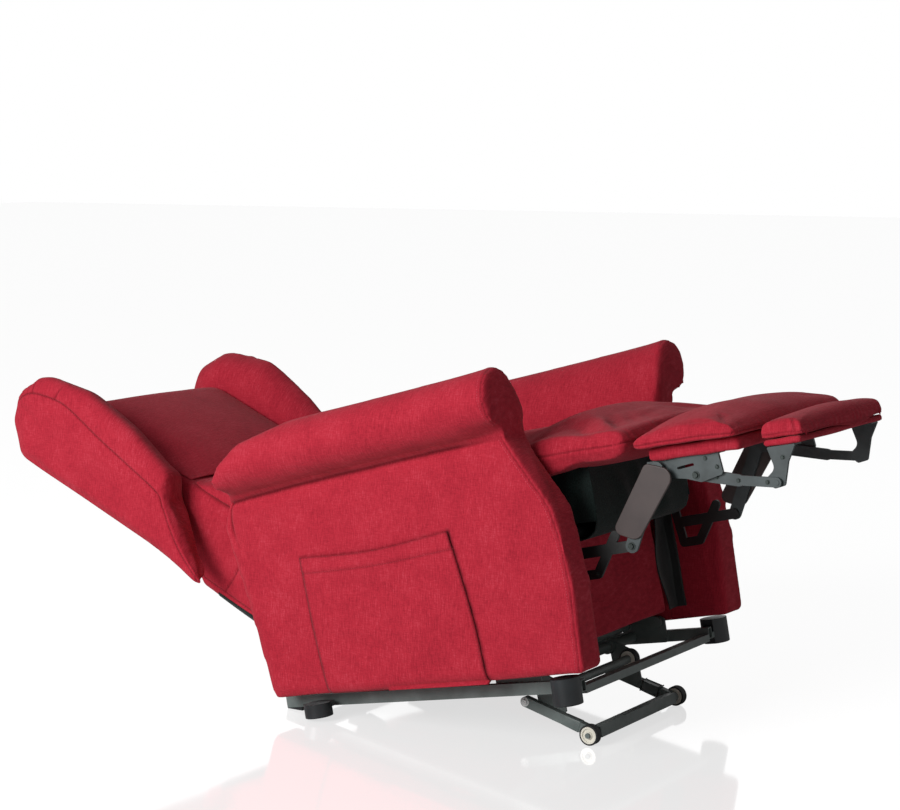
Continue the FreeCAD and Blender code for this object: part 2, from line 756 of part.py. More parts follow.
def chair_cross_tubes():
    shapes = [round_tube((-bracket_x, bracket_x), point, chair_tube_radius, tube_wall)
              for point in (chair_front_tube, chair_rear_tube)]
    return [in_chair(shape) for shape in shapes]


def slide_rails():
    inner_x = arm_inner_x - slide_rail_depth
    outer = box((inner_x, arm_inner_x), slide_rail_y, slide_rail_z)
    room = box((inner_x - 1, arm_inner_x - slide_wall), (slide_rail_y[0] - 1, slide_rail_y[1] + 1),
               (slide_rail_z[0] + slide_wall, slide_rail_z[1] - slide_wall))
    return [in_chair(shape) for shape in both_sides(outer.cut(room))]


def slide_runners():
    x_range = (carriage_plate_x + carriage_plate_thickness, arm_inner_x - slide_wall - slide_gap)
    z_range = (slide_rail_z[0] + slide_wall + slide_gap, slide_rail_z[1] - slide_wall - slide_gap)
    runner = box(x_range, (slide_rail_y[0], seat_frame_y[1] - 10), z_range)
    return [in_chair(shape) for shape in both_sides(runner)]


def carriage_plates():
    x_range = (carriage_plate_x, carriage_plate_x + carriage_plate_thickness)
    outline = [(-446.0, 322.0), (-434.0, 316.0), (-160.0, 316.0), (-60.0, 284.0), (6.0, 284.0), (8.0, 340.0),
               (40.0, 380.0), (40.0, seat_frame_z[0]), (-370.0, seat_frame_z[0]), (-420.0, 352.0),
               (-446.0, 346.0)]
    side = plate(outline, x_range, 3.0)
    swing_pin = rod((swing_plate_x - 2.0, x_range[0] + 1), swing_pivot, rivet_radius)
    spacer = rod((swing_plate_x + plate_thickness + plate_gap, x_range[0] + 1), swing_pivot, 9.0)
    back_pin = rod((frame_bar_x[1] - 2.0, x_range[0] + 1), seat_pivot, back_pin_radius)
    side = side.fuse([swing_pin, spacer, back_pin])
    return [in_chair(shape) for shape in both_sides(side)]


def seat_frame():
    half = carriage_plate_x + carriage_plate_thickness
    y_range = seat_frame_y
    z_range = seat_frame_z
    inner = half - seat_frame_bar
    rails = both_sides(box((inner, half), y_range, z_range))
    front = box((-inner, inner), (y_range[0], y_range[0] + seat_frame_bar), z_range)
    rear = box((-inner, inner), (y_range[1] - seat_frame_bar, y_range[1]), z_range)
    mid_y = footrest_drive_seat[0]
    middle = box((-inner, inner), (mid_y - 25.0, mid_y + 15.0), z_range)
    hanger = clevis_plates(0.0, (mid_y, z_range[0] - 8.0), footrest_drive_seat, 1.0, drive_pin_radius)
    hanger = hanger.cut(box((-60, 60), (mid_y - 60, mid_y + 60), (z_range[0], z_range[0] + 40)))
    return [in_chair(shape) for shape in rails + [front, rear, middle, hanger]]


def seat_webbing():
    half = carriage_plate_x + carriage_plate_thickness - 6.0
    first = seat_frame_y[0] + 6.0
    last = seat_frame_y[1] - 6.0 - webbing_width
    straps = []
    for i in range(webbing_count):
        y = first + (last - first) * i / (webbing_count - 1)
        z_range = (seat_frame_z[1], seat_frame_z[1] + webbing_thickness)
        straps.append(in_chair(box((-half, half), (y, y + webbing_width), z_range)))
    return straps


def seat_cushion():
    floor = seat_frame_z[1] + webbing_thickness + soft_gap
    low = floor - 3.0
    nose_low = seat_nose_low_z
    edge = seat_edge_z
    half = seat_half_width
    stations = [
        (seat_front_y, half - 14.0, 478.0, 498.0, 6.0, 5.0),
        (seat_front_y + 8.0, half - 6.0, 464.0, 511.0, 9.0, 6.0),
        (seat_front_y + 30.0, half - 2.0, nose_low, edge + 2.0, 8.0, 8.0),
        (seat_front_y + 110.0, half, nose_low, edge + 2.0, seat_crown, 8.0),
        (seat_front_y + 230.0, half, low, edge - 4.0, seat_crown, 8.0),
        (-200.0, half, low, edge - 12.0, seat_crown, 8.0),
        (-60.0, half, low, 488.0, 12.0, 8.0),
        (seat_rear_y - 20.0, half - 3.0, low, 482.0, 8.0, 8.0),
        (seat_rear_y, half - 10.0, low + 8.0, 472.0, 4.0, 6.0),
    ]
    return [in_chair(cushion(stations, floor, panel_y - 12.0))]


def front_panel():
    y_range = (panel_y, panel_y + panel_thickness)
    board = box((-panel_half_width, panel_half_width), y_range, panel_z)
    return [in_chair(board.makeFillet(3.0, board.Edges))]


def panel_stiles():
    y_front = panel_y + panel_thickness
    stile = box(stile_x, (y_front, y_front + stile_depth), (panel_z[0] + 7.0, seat_frame_z[0]))
    bar_y = (y_front + stile_depth, y_front + stile_depth + 20.0)
    bar_z = (recline_drive_seat[1] - 10.0, recline_drive_seat[1] + 10.0)
    cross = box((-stile_x[1], stile_x[1]), bar_y, bar_z)
    ears = clevis_plates(recline_drive_x, (bar_y[1] - 10.0, recline_drive_seat[1]), recline_drive_seat, 1.0,
                         drive_pin_radius)
    ears = ears.cut(cross)
    return [in_chair(shape) for shape in both_sides(stile) + [cross, ears]]


def offset_line(points, distance):
    """The same open line moved sideways by a distance, corner by corner."""
    moved = []
    for i in range(len(points)):
        before = points[max(i - 1, 0)]
        after = points[min(i + 1, len(points) - 1)]
        dy = after[0] - before[0]
        dz = after[1] - before[1]
        length = math.hypot(dy, dz)
        moved.append((points[i][0] - distance * dz / length, points[i][1] + distance * dy / length))
    return moved


def valance():
    """Cloth that hangs from the seat's underside and passes below the footrest's torque tube."""
    outline = valance_line + offset_line(valance_line, apron_thickness)[::-1]
    vectors = [FreeCAD.Vector(-valance_half_width, p[0], p[1]) for p in outline + outline[:1]]
    face = Part.Face(Part.makePolygon(vectors))
    return face.extrude(FreeCAD.Vector(2.0 * valance_half_width, 0, 0))


def apron():
    half = carriage_plate_x - soft_gap
    y_range = (panel_y, panel_y + apron_thickness)
    sheet = box((-half, half), y_range, (panel_z[1], seat_frame_z[1]))
    slot_half, slot_low, slot_high = apron_slot
    slot = box((-slot_half, slot_half), (panel_y - 1, panel_y + 5), (slot_low, slot_high))
    return [in_chair(sheet.cut(slot)), in_chair(valance())]


def gussets():
    x_range = (panel_half_width, arm_inner_x - 2.5)
    strip = box(x_range, (panel_y, panel_y + gusset_thickness), gusset_z)
    fold_x = (x_range[1] - gusset_thickness, x_range[1])
    fold = box(fold_x, (panel_y - gusset_fold, panel_y + gusset_thickness), gusset_z)
    return [in_chair(shape) for shape in both_sides(strip.fuse(fold).removeSplitter())]


def back_frame_bars():
    """Two long wooden bars and three cross bars, in the back's own frame."""
    bars = both_sides(box(frame_bar_x, (frame_bar_low, frame_bar_high), frame_bar_out))
    inner = frame_bar_x[0]
    for low in back_cross_bars:
        bars.append(box((-inner, inner), (low, low + back_cross_bar_width), frame_bar_out))
    return bars


def back_frame():
    return [in_back(shape) for shape in back_frame_bars()]


def back_brackets():
    """Plates that hang the back on the seat's pins, joined by a torque tube with the drive's lever."""
    pivot = back_from_chair(seat_pivot)
    bracket_range = (frame_bar_x[1], frame_bar_x[1] + back_bracket_thickness)
    outline = [(pivot[0] - 20.0, pivot[1] + 18.0), (pivot[0] + 22.0, pivot[1] + 12.0), (-256.0, 80.0),
               (-256.0, 42.0), (frame_bar_low, 42.0), (pivot[0] - 18.0, 100.0)]
    bracket = plate(outline, bracket_range, 6.0, [(pivot, back_pin_radius + pin_fit)])
    tube_x = frame_bar_x[1]
    tube = round_tube((-tube_x, tube_x), seat_pivot, back_tube_radius, 5.5)
    point = recline_lever_point()
    lever = clevis_plates(recline_drive_x, seat_pivot, point, back_tube_radius, drive_pin_radius)
    return [in_back(shape) for shape in both_sides(bracket)] + [in_chair(tube), in_chair(lever)]


def back_section(along, half, rear, front):
    """One closed cross-section of the back: crowned rear, upright sides and a flat front."""
    side_rear = rear + 30.0
    turn = 20.0
    slope = 8.0
    bend = 6.0
    front_left = FreeCAD.Vector(-half, along, front)
    front_right = FreeCAD.Vector(half, along, front)
    right_high = FreeCAD.Vector(half, along, side_rear)
    right_bend = FreeCAD.Vector(half - bend, along, rear + slope + bend)
    right_low = FreeCAD.Vector(half - turn, along, rear + slope)
    middle = FreeCAD.Vector(0, along, rear)
    left_low = FreeCAD.Vector(-half + turn, along, rear + slope)
    left_bend = FreeCAD.Vector(-half + bend, along, rear + slope + bend)
    left_high = FreeCAD.Vector(-half, along, side_rear)
    edges = [
        Part.LineSegment(front_left, front_right).toShape(),
        Part.LineSegment(front_right, right_high).toShape(),
        Part.Arc(right_high, right_bend, right_low).toShape(),
        Part.Arc(right_low, middle, left_low).toShape(),
        Part.Arc(left_low, left_bend, left_high).toShape(),
        Part.LineSegment(left_high, front_left).toShape(),
    ]
    return Part.Wire(edges)


def back_core():
    half = back_half_width
    rear = -back_rear_bulge
    sections = [
        back_section(back_low, half - 3.0, rear + 6.0, back_depth),
        back_section(-100.0, half, rear, back_depth),
        back_section(200.0, half, rear, back_depth),
        back_section(back_high - 120.0, half, rear, back_depth),
        back_section(back_high - 60.0, half, rear + 3.0, back_depth),
        back_section(back_high - 18.0, half - 1.0, rear + 14.0, back_depth),
        back_section(back_high, half - 6.0, rear + 34.0, back_depth),
    ]
    solid = Part.makeLoft(sections, True, False)
    for room in back_frame_bars():
        solid = solid.cut(room)
    return [in_back(solid)]


def lumbar_cushion():
    low = back_depth + soft_gap
    start, end = lumbar_along
    half = back_half_width - 2.0
    stations = [
        (start, half - 10.0, low, low + lumbar_depth - 36.0, 6.0, 8.0),
        (start + 18.0, half - 3.0, low, low + lumbar_depth - 14.0, 8.0, 8.0),
        (start + 80.0, half, low, low + lumbar_depth - 14.0, 8.0, 10.0),
        (start + 190.0, half, low, low + lumbar_depth - 40.0, 10.0, 10.0),
        (end - 20.0, half - 2.0, low, low + 16.0, 8.0, 6.0),
        (end, half - 8.0, low, low + 5.0, 3.0, 2.0),
    ]
    return [in_back(cushion(stations, back_depth + soft_gap))]


def upper_cushion():
    low = back_depth + soft_gap
    start, end = upper_along
    half = back_half_width - 2.0
    stations = [
        (start, half - 8.0, low, low + 5.0, 3.0, 2.0),
        (start + 30.0, half - 2.0, low, low + 10.0, 8.0, 5.0),
        (start + 200.0, half, low, low + upper_depth - 8.0, 12.0, 6.0),
        (end - 90.0, half, low, low + 8.0, 10.0, 5.0),
        (end - 40.0, half - 4.0, low, low + 4.0, 4.0, 2.0),
    ]
    return [in_back(cushion(stations, back_depth + soft_gap))]


def wing_wire(x, inset):
    outline = [(2.0, 2.0), (545.0, 0.0), (606.0, 62.0), (608.0, 132.0), (560.0, 190.0), (440.0, 216.0),
               (300.0, 199.0), (168.0, 162.0), (150.0, 104.0), (80.0, 34.0)]
    centre_y = 330.0
    centre_z = 100.0
    reach_y = 305.0
    reach_z = 110.0
    points = [(centre_y + (p[0] - centre_y) * (1.0 - inset / reach_y),
               centre_z + (p[1] - centre_z) * (1.0 - inset / reach_z)) for p in outline]
    radii = [12.0, 40.0, 26.0, 30.0, 60.0, 80.0, 80.0, 22.0, 30.0, 60.0]
    return rounded_wire(points, radii, x)


def wing(side):
    width = wing_outer_x - wing_inner_x
    sections = [
        wing_wire(wing_inner_x, 8.0),
        wing_wire(wing_inner_x + width * 0.2, 1.0),
        wing_wire(wing_inner_x + width * 0.6, -1.0),
        wing_wire(wing_outer_x - 5.0, 0.0),
        wing_wire(wing_outer_x, 4.0),
    ]
    solid = Part.makeLoft(sections, True, False)
    return [in_back(solid if side > 0 else mirrored(solid))]


def swing_brackets():
    x_range = (swing_plate_x, swing_plate_x + plate_thickness)
    upper = bar(swing_high_rear, swing_end, swing_upper_width, x_range)
    lower = bar(swing_low_rear, swing_low_front, swing_lower_width, x_range)
    riser = bar(swing_low_front, swing_riser_end, swing_lower_width, x_range)
    strut = bar(swing_low_rear, swing_pivot, swing_lower_width, x_range)
    hub = rod(x_range, swing_pivot, 14.0)
    side = upper.fuse([lower, riser, strut, hub])
    side = drilled(side, x_range, [(swing_pivot, rivet_radius + pin_fit)])
    side = side.fuse(rod((x_range[1] - 1.0, carry_link_x + thin_plate), swing_end, rivet_radius))
    tube = round_tube((-swing_plate_x, swing_plate_x), swing_pivot, footrest_tube_radius, tube_wall)
    lever = clevis_plates(0.0, swing_pivot, footrest_lever_point(), footrest_tube_radius, drive_pin_radius)
    solids = both_sides(side.removeSplitter()) + [tube, lever]
    return [in_chair(shape) for shape in solids]


def carry_links():
    x_range = (carry_link_x, carry_link_x + thin_plate)
    link = bar(swing_end, carry_end, 26.0, x_range)
    link = drilled(link, x_range, [(swing_end, rivet_radius + pin_fit)])
    pin = rod((calf_bracket_x - 1.0, x_range[0] + 1.0), carry_end, rivet_radius)
    side = link.fuse(pin)
    return [in_chair(shape) for shape in both_sides(side)]


def link_covers():
    x_range = (cover_x, cover_x + cover_thickness)
    outline = [(-620.0, 443.0), (-683.0, 422.0), (-580.0, 303.0), (-528.0, 325.0)]
    cover = plate(outline, x_range, [12.0, 20.0, 22.0, 14.0])
    rim = [e for e in cover.Edges if e.BoundBox.XMin > x_range[1] - 0.01]
    cover = cover.makeFillet(1.5, rim)
    return [in_chair(shape) for shape in both_sides(cover)]


def calf_brackets():
    x_range = (calf_bracket_x, calf_bracket_x + plate_thickness)
    outline = [(-612.0, 443.5), (-650.0, 410.0), (-690.0, 404.0), (-720.0, 394.0), (-766.0, 404.0),
               (-762.0, 443.5)]
    radii = [2.0, 12.0, 6.0, 8.0, 6.0, 2.0]
    holes = [(carry_end, rivet_radius + pin_fit), (flipper_arm_start, rivet_radius + pin_fit)]
    side = plate(outline, x_range, radii, holes)
    slot = bar((-678.0, 425.0), (-708.0, 428.0), 5.0, (x_range[0] - 1, x_range[1] + 1))
    side = side.cut(slot)
    flange = box((x_range[0] - 24.0, x_range[1]), (-762.0, -630.0), (calf_board_z[0] - 2.5, calf_board_z[0]))
    side = side.fuse(flange).removeSplitter()
    side = drilled(side, x_range, [(carry_end, rivet_radius + pin_fit)])
    return [in_chair(shape) for shape in both_sides(side)]


def calf_board():
    half = cover_x - 2.0
    board = box((-half, half), calf_board_along, calf_board_z)
    return [in_chair(board.makeFillet(4.0, board.Edges))]


def calf_pad():
    low = calf_board_z[1] + soft_gap
    front, rear = calf_along
    half = calf_half_width
    stations = [
        (front, half - 10.0, low + 4.0, 486.0, 3.0, 4.0),
        (front + 8.0, half - 3.0, low, 496.0, 5.0, 5.0),
        (front + 60.0, half, low, 509.0, 16.0, 8.0),
        (front + 120.0, half, low, 510.0, 20.0, 8.0),
        (rear - 40.0, half, low, 504.0, 15.0, 8.0),
        (rear - 8.0, half - 3.0, low + 3.0, 494.0, 7.0, 5.0),
        (rear, half - 8.0, low + 8.0, 488.0, 4.0, 4.0),
    ]
    return [in_chair(cushion(stations, low))]


def flipper_arms():
    x_range = (flipper_arm_x, flipper_arm_x + plate_thickness)
    first = bar(flipper_arm_start, flipper_arm_knee, 22.0, x_range)
    second = bar(flipper_arm_knee, flipper_arm_end, 18.0, x_range)
    side = first.fuse(second)
    side = drilled(side, x_range, [(flipper_arm_end, rivet_radius + pin_fit)])
    pin = rod((x_range[1] - 1.0, calf_bracket_x + plate_thickness + 1.0), flipper_arm_start, rivet_radius)
    side = side.fuse(pin).removeSplitter()
    return [in_chair(shape) for shape in both_sides(side)]


def flipper_brackets():
    x_range = (flipper_bracket_x, flipper_bracket_x + plate_thickness)
    pivot = flipper_arm_end
    outline = [(pivot[0] - 12.0, pivot[1] - 8.0), (pivot[0] + 8.0, pivot[1] - 11.0),
               (pivot[0] + 26.0, pivot[1] + 6.0), (pivot[0] + 2.0, pivot[1] + 24.0),
               (-852.0, flipper_board_z[0]), (-908.0, flipper_board_z[0]),
               (pivot[0] - 26.0, pivot[1] + 34.0)]
    radii = [6.0, 6.0, 6.0, 14.0, 2.0, 2.0, 20.0]
    side = plate(outline, x_range, radii)
    side = side.fuse(rod((x_range[1] - 1.0, flipper_arm_x + plate_thickness + 1.0), pivot, rivet_radius))
    flange_z = (flipper_board_z[0] - 2.5, flipper_board_z[0])
    flange = box((x_range[0] - 24.0, x_range[1]), (-906.0, -856.0), flange_z)
    side = side.fuse(flange).removeSplitter()
    return [in_chair(shape) for shape in both_sides(side)]


def flipper_board():
    half = flipper_half_width - 4.0
    y_range = (flipper_along[0] + 6.0, flipper_along[1] - 6.0)
    board = box((-half, half), y_range, flipper_board_z)
    return [in_chair(board.makeFillet(3.0, board.Edges))]


def flipper_pad():
    low = flipper_board_z[1] + soft_gap
    front, rear = flipper_along
    half = flipper_half_width
    top = flipper_top_z
    stations = [
        (front, half - 10.0, low + 5.0, top - 16.0, 2.0, 4.0),
        (front + 8.0, half - 3.0, low, top - 7.0, 3.0, 5.0),
        (front + 30.0, half, low, top - 2.0, 5.0, 6.0),
        (rear - 30.0, half, low, top - 2.0, 5.0, 6.0),
        (rear - 8.0, half - 3.0, low, top - 7.0, 3.0, 5.0),
        (rear, half - 10.0, low + 5.0, top - 16.0, 2.0, 4.0),
    ]
    return [in_chair(cushion(stations, low))]


def make_nodes():
    lift_housing, lift_stem = lift_drive()
    recline_housing, recline_stem = recline_drive()
    footrest_housing, footrest_stem = footrest_drive()
    nodes = {
        "feet": feet(),
        "base_rails": base_rails(),
        "front_cross_tube": front_cross_tube(),
        "cross_tubes": cross_tubes(),
        "lift_brackets": lift_brackets(),
        "rear_glides": rear_glides(),
        "power_box": power_box(),
        "mains_inlet": mains_inlet(),
        "roller_arms": roller_arms(),
        "roller_axle_tube": roller_axle_tube(),
        "roller_rear_tube": roller_rear_tube(),
        "lift_links": lift_links(),
        "front_links": front_links(),
        "lift_drive_housing": [in_base(lift_housing)],
        "lift_drive_rod": [in_base(lift_stem)],
        "chair_plates": chair_plates(),
        "chair_cross_tubes": chair_cross_tubes(),
        "arm_left": arm(1),
        "arm_right": arm(-1),
        "arm_frames": arm_frames(),
        "side_pocket": side_pocket(),
        "slide_rails": slide_rails(),
        "slide_runners": slide_runners(),
        "carriage_plates": carriage_plates(),
        "seat_frame": seat_frame(),
        "seat_webbing": seat_webbing(),
        "seat_cushion": seat_cushion(),
        "front_panel": front_panel(),
        "panel_stiles": panel_stiles(),
        "apron": apron(),
        "gussets": gussets(),
        "recline_drive_housing": [in_chair(recline_housing)],
        "recline_drive_rod": [in_chair(recline_stem)],
        "footrest_drive_housing": [in_chair(footrest_housing)],
        "footrest_drive_rod": [in_chair(footrest_stem)],
        "back_frame": back_frame(),
        "back_brackets": back_brackets(),
        "back_core": back_core(),
        "lumbar_cushion": lumbar_cushion(),
        "upper_cushion": upper_cushion(),
        "wing_left": wing(1),
        "wing_right": wing(-1),
        "swing_brackets": swing_brackets(),
        "carry_links": carry_links(),
        "link_covers": link_covers(),
        "calf_brackets": calf_brackets(),
        "calf_board": calf_board(),
        "calf_pad": calf_pad(),
        "flipper_arms": flipper_arms(),
        "flipper_brackets": flipper_brackets(),
        "flipper_board": flipper_board(),
        "flipper_pad": flipper_pad(),
    }
    for place_name, is_front in (("front", True), ("rear", False)):
        for side_name, side in (("left", 1), ("right", -1)):
            nodes["roller_tyre_" + place_name + "_" + side_name] = roller_tyre(side, is_front)
            nodes["roller_hub_" + place_name + "_" + side_name] = roller_hub(side, is_front)
    return nodes


def origin_shift(nodes):
    """The move along Y that puts the origin under the middle of the chair's overall box."""
    low = min(shape.optimalBoundingBox().YMin for name in nodes for shape in nodes[name])
    high = max(shape.optimalBoundingBox().YMax for name in nodes for shape in nodes[name])
    return -(low + high) / 2.0


def main():
    os.makedirs("parts", exist_ok=True)
    nodes = make_nodes()
    shift = origin_shift(nodes)
    print("origin shift along Y:", round(shift, 4))
    for name in nodes:
        compound = Part.makeCompound(nodes[name])
        compound.translate(FreeCAD.Vector(0, shift, 0))
        compound.exportStep("parts/" + name + ".step")
        print(name, len(compound.Solids), compound.isValid(), round(compound.Volume / 1000.0, 1))


if __name__ == "__main__":
    main()
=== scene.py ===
import json
import math

import bmesh
import bpy
import numpy as np
from mathutils import Matrix, Vector
from mathutils.bvhtree import BVHTree


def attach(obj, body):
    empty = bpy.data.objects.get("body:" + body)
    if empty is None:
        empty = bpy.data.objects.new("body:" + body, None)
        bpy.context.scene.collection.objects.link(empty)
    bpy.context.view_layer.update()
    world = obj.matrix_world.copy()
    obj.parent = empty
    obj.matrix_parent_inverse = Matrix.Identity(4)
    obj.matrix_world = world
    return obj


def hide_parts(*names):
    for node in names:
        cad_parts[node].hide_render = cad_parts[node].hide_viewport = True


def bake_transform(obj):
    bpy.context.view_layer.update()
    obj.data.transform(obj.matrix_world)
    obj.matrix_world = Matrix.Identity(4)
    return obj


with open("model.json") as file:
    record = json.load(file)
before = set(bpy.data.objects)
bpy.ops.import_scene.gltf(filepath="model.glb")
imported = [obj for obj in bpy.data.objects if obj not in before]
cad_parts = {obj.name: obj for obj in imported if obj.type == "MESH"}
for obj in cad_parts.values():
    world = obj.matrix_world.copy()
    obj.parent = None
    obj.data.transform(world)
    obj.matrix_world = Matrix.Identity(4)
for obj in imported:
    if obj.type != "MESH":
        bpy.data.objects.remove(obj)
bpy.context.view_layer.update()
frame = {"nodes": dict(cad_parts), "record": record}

scene = bpy.context.scene
scene.view_settings.view_transform = "Standard"

# The frames in which the chair is drawn: its own level, the base's level and the back's line
layout = {
    "originShift": -0.07984,
    "chairTilt": 11.6,
    "baseTilt": 10.35,
    "baseHeight": 0.036,
    "backAngle": 35.5,
    "backCorner": (0.0, 0.386, 0.334),
}
shiftOver = Matrix.Translation((0, layout["originShift"], 0))
chairTurn = shiftOver @ Matrix.Rotation(math.radians(-layout["chairTilt"]), 4, "X")
baseTurn = (shiftOver @ Matrix.Translation((0, 0, layout["baseHeight"]))
            @ Matrix.Rotation(math.radians(-layout["baseTilt"]), 4, "X"))
backTurn = (chairTurn @ Matrix.Translation(layout["backCorner"])
            @ Matrix.Rotation(math.radians(layout["backAngle"]), 4, "X"))
threadWay = math.radians(layout["chairTilt"])  # turns a weave level with the chair


def newObject(name, data):
    obj = bpy.data.objects.new(name, data)
    scene.collection.objects.link(obj)
    return obj


def aimFrom(obj, place, way):
    obj.location = place
    obj.rotation_mode = "QUATERNION"
    obj.rotation_quaternion = way.to_track_quat("-Z", "Y")


# camera, at the photograph's place
camera = {"place": (-3.7054, -2.4544, 1.1307), "azimuth": -57.346, "elevation": 6.956, "lens": 87.12,
          "shift": (-0.0237, 0.0092)}


def makeCamera():
    data = bpy.data.cameras.new("camera")
    data.lens = camera["lens"]
    data.sensor_width = 36
    data.shift_x, data.shift_y = camera["shift"]
    data.clip_end = 60
    scene.camera = newObject("camera", data)
    turn, rise = math.radians(camera["azimuth"]), math.radians(camera["elevation"])
    back = Vector((math.sin(turn) * math.cos(rise), -math.cos(turn) * math.cos(rise), math.sin(rise)))
    aimFrom(scene.camera, camera["place"], -back)


makeCamera()
print("camera placed")


# materials
def fromHex(code):
    parts = [int(code[i:i + 2], 16) / 255 for i in (1, 3, 5)]
    return tuple(p / 12.92 if p <= 0.04045 else ((p + 0.055) / 1.055) ** 2.4 for p in parts) + (1.0,)


def addNode(tree, kind, settings=None, values=None, links=None):
    node = tree.nodes.new(kind)
    for key, value in (settings or {}).items():
        setattr(node, key, value)
    for key, value in (values or {}).items():
        node.inputs[key].default_value = value
    for key, source in (links or {}).items():
        tree.links.new(source, node.inputs[key])
    return node


def newMaterial(name, values):
    material = bpy.data.materials.new(name)
    material.use_nodes = True
    tree = material.node_tree
    shader = tree.nodes["Principled BSDF"]
    for key, value in values.items():
        shader.inputs[key].default_value = value
    return material, tree, shader


def mapped(tree, scale, turn=0.0):
    place = addNode(tree, "ShaderNodeTexCoord")
    return addNode(tree, "ShaderNodeMapping", None, {"Scale": scale, "Rotation": (turn, 0, 0)},
                   {"Vector": place.outputs["Object"]})


def noiseOver(tree, scale, turn, detail):
    where = mapped(tree, scale, turn)
    return addNode(tree, "ShaderNodeTexNoise", None, {"Scale": 1.0, "Detail": detail, "Roughness": 0.5},
                   {"Vector": where.outputs["Vector"]}).outputs["Fac"]


def mathNode(tree, operation, first, second):
    node = addNode(tree, "ShaderNodeMath", {"operation": operation})
    for socket, value in zip(node.inputs, (first, second)):
        if isinstance(value, (int, float)):
            socket.default_value = value
        else:
            tree.links.new(value, socket)
    return node.outputs[0]


def ramp(tree, source, stops):
    node = addNode(tree, "ShaderNodeValToRGB", None, None, {"Fac": source})
    marks = node.color_ramp.elements
    while len(marks) < len(stops):
        marks.new(0.5)
    for mark, (place, code) in zip(marks, stops):
        mark.position = place
        mark.color = fromHex(code)
    return node.outputs["Color"]


def evenNoise(tree, size, detail):
    return noiseOver(tree, (1 / size,) * 3, 0.0, detail)


def tint(tree, shader, source, stops):
    tree.links.new(ramp(tree, source, stops), shader.inputs["Base Color"])


def roughBetween(tree, shader, source, low, high):
    level = addNode(tree, "ShaderNodeMapRange", None, {"To Min": low, "To Max": high}, {"Value": source})
    tree.links.new(level.outputs[0], shader.inputs["Roughness"])


def bumpFrom(tree, shader, height, strength, distance):
    bump = addNode(tree, "ShaderNodeBump", None, {"Strength": strength, "Distance": distance}, {"Height": height})
    tree.links.new(bump.outputs["Normal"], shader.inputs["Normal"])


# The upholstery is a polyester chenille weave: dyed threads of two reds crossing, matt with a soft sheen
weave = {
    "threadWidth": 0.0015,  # real threads are near 0.8 mm, drawn twice as coarse so that they show
    "threadLength": 0.016,
    "pitch": 0.0022,
    "cloud": 0.060,
    "turn": threadWay,
}


def wovenCloth(name, stops, size, sheen, bumpHeight):
    material, tree, shader = newMaterial(name, {"Roughness": 0.92, "Sheen Weight": sheen, "Sheen Roughness": 0.45,
                                                "Specular IOR Level": 0.15})
    thin, long = 1 / size["threadWidth"], 1 / size["threadLength"]
    warp = noiseOver(tree, (thin, long, thin), size["turn"], 1.0)
    weft = noiseOver(tree, (long, thin, long), size["turn"], 1.0)
    cloud = evenNoise(tree, size["cloud"], 3.0)
    speck = noiseOver(tree, (0.55 * thin,) * 3, 0.0, 2.0)
    both = mathNode(tree, "MULTIPLY", warp, 0.22)
    for source, share in ((weft, 0.38), (cloud, 0.22), (speck, 0.18)):
        both = mathNode(tree, "ADD", both, mathNode(tree, "MULTIPLY", source, share))
    # a seam draws the cloth into a narrow fold; painted shade darkens the colour along it by the amount marked on the
    # mesh, multiplying in a dark red at full strength
    paintedShade = addNode(tree, "ShaderNodeAttribute", {"attribute_name": "paintedShade"})
    dark = addNode(tree, "ShaderNodeMix", {"data_type": "RGBA", "blend_type": "MULTIPLY"},
                   {7: (0.16, 0.10, 0.12, 1.0)}, {0: paintedShade.outputs["Fac"], 6: ramp(tree, both, stops)})
    tree.links.new(dark.outputs[2], shader.inputs["Base Color"])
    # crossing threads: sine of each coordinate, each times the next
    turns = mapped(tree, (2 * math.pi / size["pitch"],) * 3, size["turn"])
    waves = addNode(tree, "ShaderNodeVectorMath", {"operation": "SINE"}, None, {0: turns.outputs["Vector"]})
    apart = addNode(tree, "ShaderNodeSeparateXYZ", None, None, {0: waves.outputs[0]})
    again = addNode(tree, "ShaderNodeCombineXYZ", None, None,
                    {"X": apart.outputs["Y"], "Y": apart.outputs["Z"], "Z": apart.outputs["X"]})
    lattice = addNode(tree, "ShaderNodeVectorMath", {"operation": "DOT_PRODUCT"}, None,
                      {0: waves.outputs[0], 1: again.outputs[0]})
    height = mathNode(tree, "ADD", mathNode(tree, "MULTIPLY", lattice.outputs["Value"], 0.22), both)
    bumpFrom(tree, shader, height, 0.55, bumpHeight)
    return material


redShades = [(0.38, "#971D2D"), (0.47, "#A82334"), (0.54, "#B02838"), (0.66, "#BC3B4B")]
redWeave = wovenCloth("redChenilleWeave", redShades, weave, 0.07, 0.0008)
# The cloth under the seat and the straps: black-green spun polypropylene, dull and nearly smooth
darkCloth = wovenCloth("blackSpunCloth", [(0.35, "#0D1312"), (0.52, "#1B2624"), (0.7, "#2C3A37")],
                       weave | {"threadWidth": 0.0012, "threadLength": 0.004, "pitch": 0.0016}, 0.12, 0.0005)


def elasticKnit():
    # Wide black elastic: ribs across its width, a little shine on the rubber threads
    material, tree, shader = newMaterial("blackElasticKnit", {"Roughness": 0.7, "Sheen Weight": 0.15})
    where = mapped(tree, (1, 1, 1), threadWay)
    ribs = addNode(tree, "ShaderNodeTexWave", {"bands_direction": "Z"}, {"Scale": 160.0, "Distortion": 0.6},
                   {"Vector": where.outputs["Vector"]}).outputs["Fac"]
    tint(tree, shader, ribs, [(0.2, "#080A0A"), (0.8, "#101414")])
    bumpFrom(tree, shader, ribs, 0.3, 0.0004)
    return material


